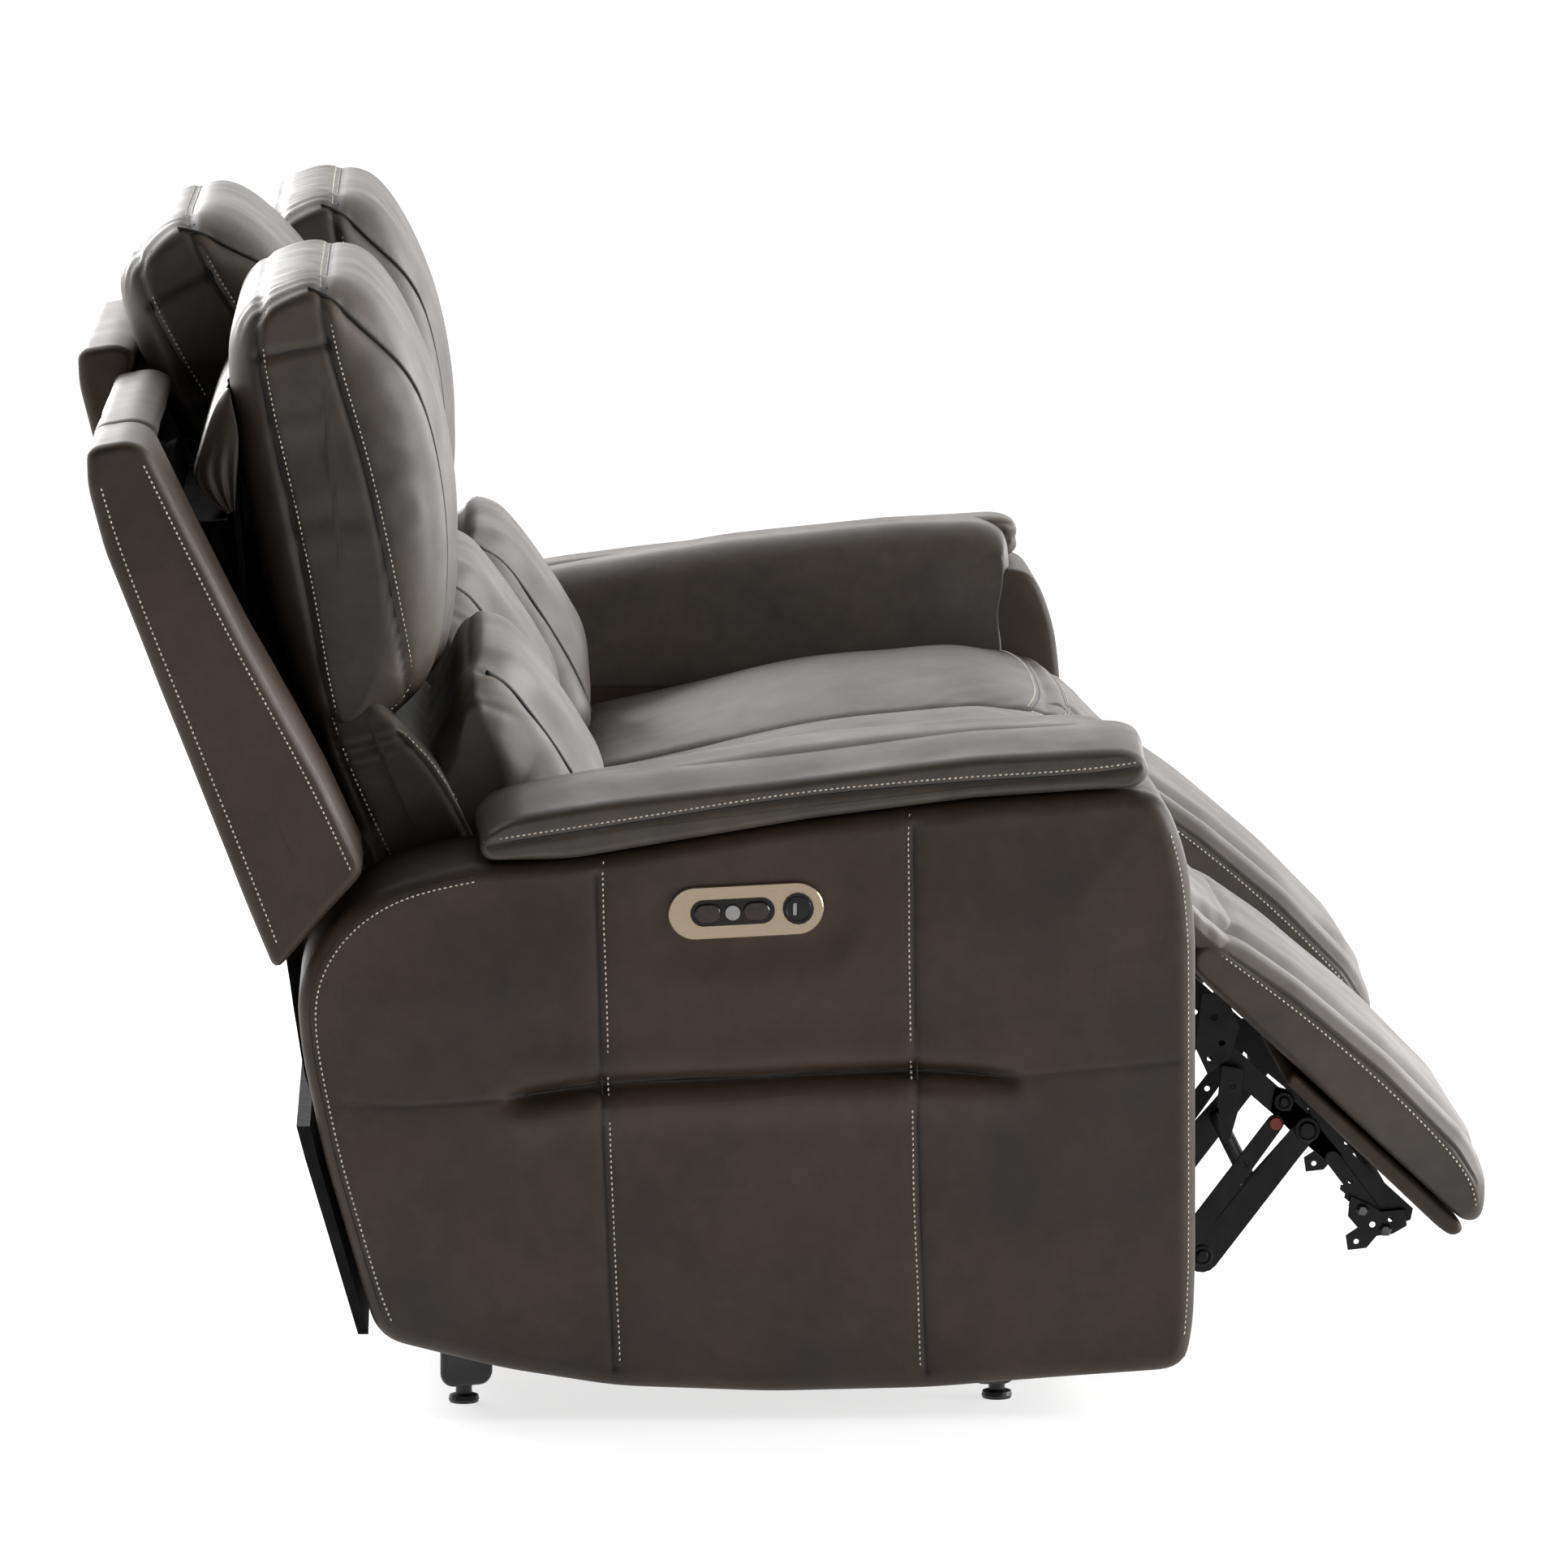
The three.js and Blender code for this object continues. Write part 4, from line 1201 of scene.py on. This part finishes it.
def cloth_strip(name, path, right, left, waves, plane=SIDE, columns=60, rows=26):
    """A thin cloth between s = right and left that follows a side-view path, with soft waves."""
    path = resample(path, rows, closed=False)
    s = np.linspace(right, left, columns)
    grid = np.concatenate([np.repeat(path[:, None, :], columns, axis=1),
                           np.repeat(s[None, :, None], rows, axis=0)], axis=2)
    along = np.gradient(path, axis=0)
    outward = np.column_stack([-along[:, 1], along[:, 0]]) / np.linalg.norm(along, axis=1)[:, None]
    wave = waves * noise(grid, (60, 90, 70), 31) + 0.5 * waves * np.sin(s / 34.0)[None, :]
    grid[..., :2] += outward[:, None, :] * wave[..., None]
    return sheet_mesh(name, grid, plane)


def sheet_mesh(name, grid, plane):
    """A thin sheet from a grid of side-view points."""
    rows, columns = grid.shape[:2]
    index = np.arange(rows * columns).reshape(rows, columns)
    faces = [(int(index[i, j]), int(index[i, j + 1]), int(index[i + 1, j + 1]), int(index[i + 1, j]))
             for i in range(rows - 1) for j in range(columns - 1)]
    obj = solid(name, row(plane.out(grid.reshape(-1, 3))), faces)
    thick = obj.modifiers.new("thickness", "SOLIDIFY")
    thick.thickness = SHEET_THICKNESS
    return obj


DUST_CLOTH = [(-487, 462), (-482, 430), (-474, 370), (-462, 300), (-456, 282)]


def dust_cloth(side, sign):
    """Black cloth that hangs from the bottom of the back shell and tucks in behind the base."""
    obj = cloth_strip(f"{side}_dust_cloth", DUST_CLOTH, sign * 824.0, sign * 292.0, 3.0)
    finished(obj, f"{side}_back", CLOTH)


FLAP = [(80, 562), (56, 544), (30, 512), (15, 492), (20, 466), (34, 446)]
FLAP_SIDE = [(84, 562), (80, 544), (76, 520), (66, 496), (54, 470), (44, 448)]
LINING = [(32, 443), (2, 452), (-30, 474), (-40, 505)]
POUCH_BEND = [(-40, 490), (90, 490)]
FLAP_ROWS = 40
FLAP_COLUMNS = 90


def flap(side, back, head, centre, plane):
    """The pleated leather pouch behind the head and the black cloth that joins it to the shell."""
    rear, front = (resample(rounded(path), FLAP_ROWS, closed=False) for path in (FLAP, FLAP_SIDE))
    opening, closing = np.linspace(0, 1, 16)[:-1], np.linspace(1, 0, 16)[1:]
    share = np.concatenate([opening, np.full(FLAP_COLUMNS, 1.0), closing])
    middle = np.linspace(252, -252, FLAP_COLUMNS)
    s = np.concatenate([262 - 10 * opening ** 2, middle, 10 * closing ** 2 - 262])
    grid = front[:, None] * (1 - share)[None, :, None] + rear[:, None] * share[None, :, None]
    grid = np.concatenate([grid, np.repeat(s[None, :, None], FLAP_ROWS, axis=0)], axis=2)
    low = smoothstep(0.35, 0.9, np.linspace(0, 1, FLAP_ROWS))[:, None]
    pleat = np.sin(share * 19.0)[None, :] * (share < 1.0)[None, :]
    grid[..., 2] += np.sign(s)[None, :] * (2.6 * low * pleat - 7.0 * low)
    grid[..., 0] += 2.2 * noise(grid, (60, 90, 46), 31) + 1.6 * low * np.sin(s / 9.0)[None, :]
    grid[..., 2] += centre
    leaf = sheet_mesh(f"{side}_head_flap", grid, plane)
    lining = cloth_strip(f"{side}_shell_lining", rounded(LINING), centre + 264.0, centre - 264.0, 1.6,
                         plane, 90, 24)
    low, high = plane.out([(*place, centre) for place in POUCH_BEND])
    for sheet, material, slot in ((leaf, HIDE, "leather"), (lining, CLOTH, "cloth")):
        sheet.data.materials.append(material)
        if back == head:
            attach(sheet, back)
        else:
            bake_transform(sheet)


NECK = [(36, 8), (90, 0), (134, -4), (140, 50), (140, 77), (134, 135), (125, 166), (113, 192), (104, 216),
        (92, 242), (60, 256), (44, 248), (35, 194), (35, 123)]
NECK_REAR_SEAM = [(52, 12), (50, 66), (46, 127), (45, 197), (48, 226)]
NECK_FRONT_SEAM = [(130, 0), (134, 50), (133, 77), (126, 130), (117, 162), (107, 184)]


def neck(side, back, head, centre, plane, seed):
    """The gathered leather between lumbar and head cushions."""
    half = HALF + 1.0
    skin = Skin(fillet(NECK, 14.0), half, -half, (12, 12, 6, 6), 14.0,
                ((86, 40), (84, 215)), 190, 12.0, cap=20)
    x, y = skin.pos[..., 0], skin.pos[..., 1]
    warp = noise(skin.pos, (60, 50, 60), seed)
    flat = smoothstep(0.6, 0.95, np.abs(skin.facing((0, 0, 1))))
    creased = np.exp(-(((y - 188) / 26.0) ** 2))
    skin.push(flat * (1.6 * np.sin(y * 0.24 + 0.05 * x + 2.5 * warp) * creased + 1.2 * warp))
    for line in (NECK_REAR_SEAM, NECK_FRONT_SEAM):
        skin.groove(segment_distance(skin.pos[..., :2], rounded(line)) + 30 * (1 - flat), 5.0, 2.4)
    skin.pos[..., 2] *= 1 - 0.03 * smoothstep(200, 240, y)
    obj = skin.build(f"{side}_neck_leather", plane, centre)
    tree, threads = surface(obj), Thread()
    for face in (1, -1):
        for line in (NECK_REAR_SEAM, NECK_FRONT_SEAM):
            points = flipped(line, 1, centre + face * (HALF + 8))
            found, normals = trace(tree, plane, points, (0, 0, -face))
            threads.stitch(tree, found, normals, -5.0 * face)
    stitches = threads.build(f"{side}_neck_stitching", back, THREAD, "leather")
    obj.data.materials.append(HIDE)
    if back == head:
        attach(obj, back)
        return
    low, high = plane.out([(70, 130, centre), (84, 232, centre)])
    for piece in (obj, stitches):
        piece.parent = None
        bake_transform(piece)


# ---------------------------------------------------------------- assembly

def seam_work(name, body, tree, plane, centre, lines):
    """Stitches and dark cords (painted seam shade) of one piece; lines are (points at one side, s, stitch
    offset or None).
    """
    threads, cords = Thread(), Thread()
    for line, s, offset in lines:
        for face in (1, -1):
            found, normals = trace(tree, plane, flipped(line, 1, centre + face * s), (0, 0, -face))
            if offset is not None:
                threads.stitch(tree, found, normals, offset * face)
            cords.cord(found, normals)
    threads.build(f"{name}_stitching", body, THREAD, "leather")
    # Near-black cords: painted seam shade
    cords.build(f"{name}_seams", body, SEAM_SHADOW, "leather")


def pipe_lines(cords, tree, plane, centre, line, radius=1.7, place=None, aim=(-1, -0.5, 0)):
    """The piping of the two bolster seams of a cushion, near-black as painted seam shade; place gives its
    distance from the middle.
    """
    line = resample(rounded(line), 60, closed=False)
    away = np.full(len(line), PIPE) if place is None else place(line[:, 1])
    for face in (1, -1):
        points = np.column_stack([line, centre + face * away])
        found, normals = trace(tree, plane, points, aim)
        cords.cord(found, normals, radius, -PIPE_PROUD)


def across_line(x, y, centre, half, bow=0.0):
    """A line of side-view points across a cushion, bowed along x."""
    s = np.linspace(half, -half, 40)
    return np.column_stack([x + bow * (s / half) ** 4, np.full(len(s), y), centre + s])


HEAD_PIPE = [(150, -30), (168, 60), (173, 110), (172, 165), (165, 215), (150, 272), (128, 315), (102, 345),
             (72, 362)]
LUMBAR_PIPE = [(262, -10), (258, 40), (248, 101), (236, 150), (222, 184), (208, 203)]


def cushion_stack(side, centre, back_plane, head_plane, back_body, head_body, seat_body, nodes, seed):
    """Seat, lumbar and head cushions of one place, with their seams."""
    seat = seat_cushion(f"{side}_seat_leather", seat_body, nodes[0], centre, seed)
    lumbar = lumbar_cushion(f"{side}_lumbar_leather", back_body, nodes[1], centre, back_plane, seed + 10)
    head = head_cushion(f"{side}_head_leather", head_body, nodes[2], centre, head_plane, seed + 20)
    neck(side, back_body, head_body, centre, back_plane, seed + 60)
    flap(side, back_body, head_body, centre, back_plane)
    tree = surface(head)
    seam_work(f"{side}_head", head_body, tree, head_plane, centre,
              [(HEAD_FRONT_SEAM, HALF + 4, -6.0), (HEAD_REAR_SEAM, HALF + 4, -6.0),
               (HEAD_CROSS_SEAM, HALF + 4, None), (HEAD_HEM, HALF - 6, None)])
    # Piping and the cord across the top seam are near-black: painted seam shade
    pipes = Thread()
    pipe_lines(pipes, tree, head_plane, centre, HEAD_PIPE, 2.0, head_pipe)
    found, normals = trace(tree, head_plane, across_line(68, 384, centre, HALF - 24), (0, -1, 0))
    pipes.cord(found, normals, 1.0, 0.3)
    stitches = Thread()
    stitches.stitch(tree, found, normals, 6.0)
    pipes.build(f"{side}_head_piping", head_body, SEAM_SHADOW, "leather")
    stitches.build(f"{side}_head_top_stitching", head_body, THREAD, "leather")
    # Lumbar piping, near-black: painted seam shade
    pipes = Thread()
    pipe_lines(pipes, surface(lumbar), back_plane, centre, LUMBAR_PIPE, 2.4, lumbar_pipe)
    pipes.build(f"{side}_lumbar_piping", back_body, SEAM_SHADOW, "leather")
    tree = surface(seat)
    threads, cords = Thread(), Thread()
    for x, y, offset in ((352, 540, 6.0), (376, 516, -6.0)):
        found, normals = trace(tree, SIDE, across_line(x, y, centre, HALF - 20, -14.0), (-0.5, -1, 0))
        threads.stitch(tree, found, normals, offset)
        cords.cord(found, normals, 0.9)
    threads.build(f"{side}_seat_stitching", seat_body, THREAD, "leather")
    # Near-black seam cords: painted seam shade
    cords.build(f"{side}_seat_seam_shade", seat_body, SEAM_SHADOW, "leather")


def wing(side, sign, back, seed):
    """The back shell's wing beside the cushions, its rear panel and its stitching."""
    made = shell(f"{side}_wing_leather", back, f"{side}_back_shell", SHELL_WING, 1049.5, 838.0, BACK,
                 ((-22, 130), (-34, 540)), seed, sign < 0)
    shell(f"{side}_rear_panel_leather", back, None, SHELL_SHEET, 836.0, 285.0, BACK,
          ((-64, 80), (-38, 555)), seed + 1, sign < 0)
    tree = surface(made)
    threads, cords = Thread(), Thread()
    for line in (WING_REAR_STITCH, WING_FRONT_STITCH):
        found, normals = trace(tree, BACK, flipped(line, sign, 1060), (0, 0, -sign))
        threads.stitch(tree, found, normals)
    found, normals = trace(tree, BACK, flipped(WING_TOP_SEAM, sign, 1044), (0, 0, -sign))
    cords.cord(found, normals, 0.7)
    threads.build(f"{side}_wing_stitching", back, THREAD, "leather")
    # The top seam cord is near-black: painted seam shade
    cords.build(f"{side}_wing_seam_shade", back, SEAM_SHADOW, "leather")


def footrest(side, body, centre, seed):
    """The footrest's pad and board, with the pad's stitching and piping."""
    pad = footrest_pad(side, body, centre, seed)
    footrest_board(side, body, centre, seed + 1)
    tree = surface(pad)
    threads, cords = Thread(), Thread()
    for face in (1, -1):
        points = flipped(PAD_EDGE_STITCH, 1, centre + face * (HALF + 4))
        found, normals = trace(tree, REST, points, (0, 0, -face))
        threads.stitch(tree, found, normals)
    pipe_lines(cords, tree, REST, centre, PAD_PIPE, aim=(-0.15, -1, 0))
    threads.build(f"{side}_footrest_stitching", body, THREAD, "leather")
    # The piping is near-black: painted seam shade
    cords.build(f"{side}_footrest_piping", body, SEAM_SHADOW, "leather")


def recliner(side, sign):
    """Everything upholstered on one end seat."""
    centre = sign * SEAT_PITCH
    back, head = f"{side}_back", f"{side}_headrest"
    seat, rest = f"{side}_seat", f"{side}_footrest"
    seed = 40 if sign > 0 else 140
    nodes = (f"{side}_seat_cushion", f"{side}_lumbar_cushion", f"{side}_head_cushion")
    cushion_stack(side, centre, BACK, HEAD, back, head, seat, nodes, seed)
    wing(side, sign, back, seed + 30)
    footrest(side, rest, centre, seed + 40)
    bridge(side, centre, seed + 50)
    dust_cloth(side, sign)
    linkage(side, sign)


def middle_seat():
    """The fixed middle place: its cushions, back shell and front panel."""
    cushion_stack("middle", 0.0, MID_BACK, MID_HEAD, "base", "base", "base",
                  ("middle_seat_cushion", "middle_back_cushion", "middle_head_cushion"), 240)
    shell("middle_shell_leather", "base", "middle_back_shell", MIDDLE_SHELL, 282.0, -282.0, MID_BACK,
          ((-50, -80), (-36, 550)), 270)
    front = Skin(fillet(MIDDLE_FRONT, 7.0), 283.0, -283.0, (8, 5, 6, 6), 10.0,
                 ((366, 90), (368, 380)), 180, 12.0)
    front.push(2.0 * noise(front.pos, (80, 110, 120), 281))
    obj = front.build("middle_front_leather", SIDE)
    finished(obj, "base", ARM_HIDE, ["middle_front_panel"])


def arms():
    """Both arms with their pads, inner faces and seams."""
    for side, sign in SIDES:
        body = arm(side, sign)
        threads, cords = Thread(), Thread()
        arm_stitching(sign, surface(body), threads, cords)
        pad = arm_pad(side, sign)
        inner_arm(side, sign)
        tree = surface(pad)
        found, normals = trace(tree, SIDE, flipped(PAD_SEAM, sign, 1070), (0, 0, -sign))
        cords.cord(found, normals)
        threads.stitch(tree, found, normals, 5.0 * sign)
        threads.build(f"{side}_arm_stitching", "base", THREAD, "arm_leather")
        # Near-black seam cords: painted seam shade
        cords.build(f"{side}_arm_seam_shade", "base", SEAM_SHADOW, "arm_leather")


def hard_parts():
    """Materials of the CAD nodes that stay in view."""
    looks = {"base_frame": BOARD, "drive_unit": PANEL, "drive_slider": STEEL, "seat_frame": STEEL,
             "back_frame": STEEL, "head_bracket": STEEL, "footrest_bracket": STEEL, "lower_links": STEEL,
             "ottoman_links": STEEL, "control_bezel": CHAMPAGNE, "control_insert": PANEL,
             "recline_rocker": SMOKE, "headrest_rocker": SMOKE, "home_button": SILVER, "usb_port": PANEL,
             "foot_rear": FOOT, "foot_front": FOOT, "middle_frame": BOARD, "rear_dust_panel": CLOTH}
    for name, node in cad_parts.items():
        for ending, material in looks.items():
            if name.endswith(ending):
                node.data.materials.clear()
                node.data.materials.append(material)
                smooth = node.modifiers.new("soft edge", "BEVEL")
                smooth.width = 0.0006
                smooth.segments = 2
                smooth.limit_method = "ANGLE"
                break


def foot_blocks():
    """The black plastic brackets that hold the glides."""
    shapes = {"rear": [(-333, 66), (-283, 66), (-282, 30), (-289, 21), (-325, 18), (-333, 26)],
              "front": [(182, 52), (227, 52), (228, 24), (221, 17), (191, 17), (182, 26)]}
    for side in ("right", "left", "middle"):
        for place, outline in shapes.items():
            low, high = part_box(f"{side}_foot_{place}")
            s = -500.0 * (low[0] + high[0])
            block = Skin(fillet(outline, 6.0), s + 24, s - 24, (4, 4, 4, 4), 5.0,
                         ((outline[0][0] + 14, 38), (outline[1][0] - 14, 38)), 70, 12.0)
            finished(block.build(f"{side}_{place}_foot_bracket", SIDE), "base", FOOT)


def usb_detail(side, sign):
    """The socket's recess ring and pale tongue."""
    low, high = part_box(f"{side}_usb_port")
    centre = (ROW_SHIFT - 500.0 * (low[1] + high[1]), 500.0 * (low[2] + high[2]))
    face = 1000.0 * max(abs(low[0]), abs(high[0])) * sign
    profile = ((12.6, -0.8), (12.6, 0.5), (11.8, 0.8), (11.2, 0.5), (11.0, 0.15))
    ring = turned("ring", centre, [(radius, offset * sign) for radius, offset in profile], face)
    x, y = centre[0] - 3.4, centre[1]
    strip = capsule_outline((x, y - 4.4), (x, y + 4.4), 1.5)
    tongue = plate("tongue", strip, [], face + 0.35 * sign, 0.8, 0.2)
    finished(ring, "base", PANEL)
    finished(tongue, "base", SILVER)
    ring.name, tongue.name = f"{side}_usb_ring", f"{side}_usb_tongue"


arms()
foot_blocks()
for side, sign in SIDES:
    recliner(side, sign)
    usb_detail(side, sign)
middle_seat()
hard_parts()


# ---------------------------------------------------------------- studio

def studio():
    """A pale glowing floor, a sky that brightens ahead of the camera, and five soft lights."""
    scene = bpy.context.scene
    scene.view_settings.view_transform = "Standard"
    bpy.ops.mesh.primitive_plane_add(size=60.0, location=(8.0, 0.0, 0.0))
    floor = bpy.context.object
    floor.name = "studio_floor"
    shade = Shade("studio floor", Roughness=0.9, Specular_IOR_Level=0.1, Emission_Strength=0.72)
    tone = shade.ramp(shade.noise(0.6, 2.0), (0.3, (0.50, 0.50, 0.50)), (0.7, (0.52, 0.52, 0.52)))
    glow = shade.ramp(shade.noise(0.6), (0.3, (0.99, 0.99, 0.99)), (0.7, (1.0, 1.0, 1.0)))
    shade.wire("Base Color", tone)
    shade.wire("Emission Color", glow)
    floor.data.materials.append(shade.material)
    sky(scene)
    softbox("key", (3.4, -4.6, 1.5), (0.0, 0.0, 0.8), (3.6, 2.0), 160.0)
    softbox("front", (-1.5, -5.2, 1.7), (-0.4, 0.0, 0.8), (2.4, 2.4), 400.0)
    softbox("top", (1.2, 2.5, 3.3), (-0.2, 0.3, 0.9), (3.0, 2.4), 120.0)
    softbox("rear", (4.6, 2.8, 2.3), (-0.2, 0.4, 1.0), (2.6, 2.0), 330.0)
    softbox("fill", (-5.0, -1.4, 2.2), (-1.0, 0.0, 0.5), (2.4, 2.0), 6.0)


def sky(scene):
    """A white world whose strength rises along x."""
    world = bpy.data.worlds.new("studio")
    world.use_nodes = True
    scene.world = world
    nodes, links = world.node_tree.nodes, world.node_tree.links
    direction = nodes.new("ShaderNodeTexCoord").outputs["Generated"]
    split = nodes.new("ShaderNodeSeparateXYZ")
    links.new(direction, split.inputs[0])
    level = nodes.new("ShaderNodeMapRange")
    level.interpolation_type = "SMOOTHSTEP"
    for key, number in zip(("From Min", "From Max", "To Min", "To Max"), (-0.30, 0.90, 0.06, 1.9)):
        level.inputs[key].default_value = number
    links.new(split.outputs["X"], level.inputs["Value"])
    links.new(level.outputs["Result"], nodes["Background"].inputs["Strength"])
    nodes["Background"].inputs["Color"].default_value = (1.0, 1.0, 1.0, 1.0)


def softbox(name, place, target, size, power):
    """An area light aimed at target, in watts."""
    data = bpy.data.lights.new(name, "AREA")
    data.shape = "RECTANGLE"
    data.size, data.size_y = size
    data.energy = power
    lamp = bpy.data.objects.new(name, data)
    lamp.location = place
    lamp.rotation_euler = (Vector(target) - Vector(place)).to_track_quat("-Z", "Y").to_euler()
    bpy.context.scene.collection.objects.link(lamp)


CAMERA_PLACE = (-9.653, 0.3339, 1.8067)
CAMERA_YAW = -2.2105
CAMERA_PITCH = 7.8410
CAMERA_LENS = 208.5


def camera():
    yaw, pitch = math.radians(CAMERA_YAW), math.radians(CAMERA_PITCH)
    ahead = Vector((math.cos(pitch) * math.cos(yaw), math.cos(pitch) * math.sin(yaw), -math.sin(pitch)))
    data = bpy.data.cameras.new("camera")
    data.lens = CAMERA_LENS
    data.sensor_width = 36.0
    data.clip_end = 200.0
    eye = bpy.data.objects.new("camera", data)
    eye.location = CAMERA_PLACE
    eye.rotation_euler = ahead.to_track_quat("-Z", "Y").to_euler()
    bpy.context.scene.collection.objects.link(eye)
    bpy.context.scene.camera = eye


studio()
camera()
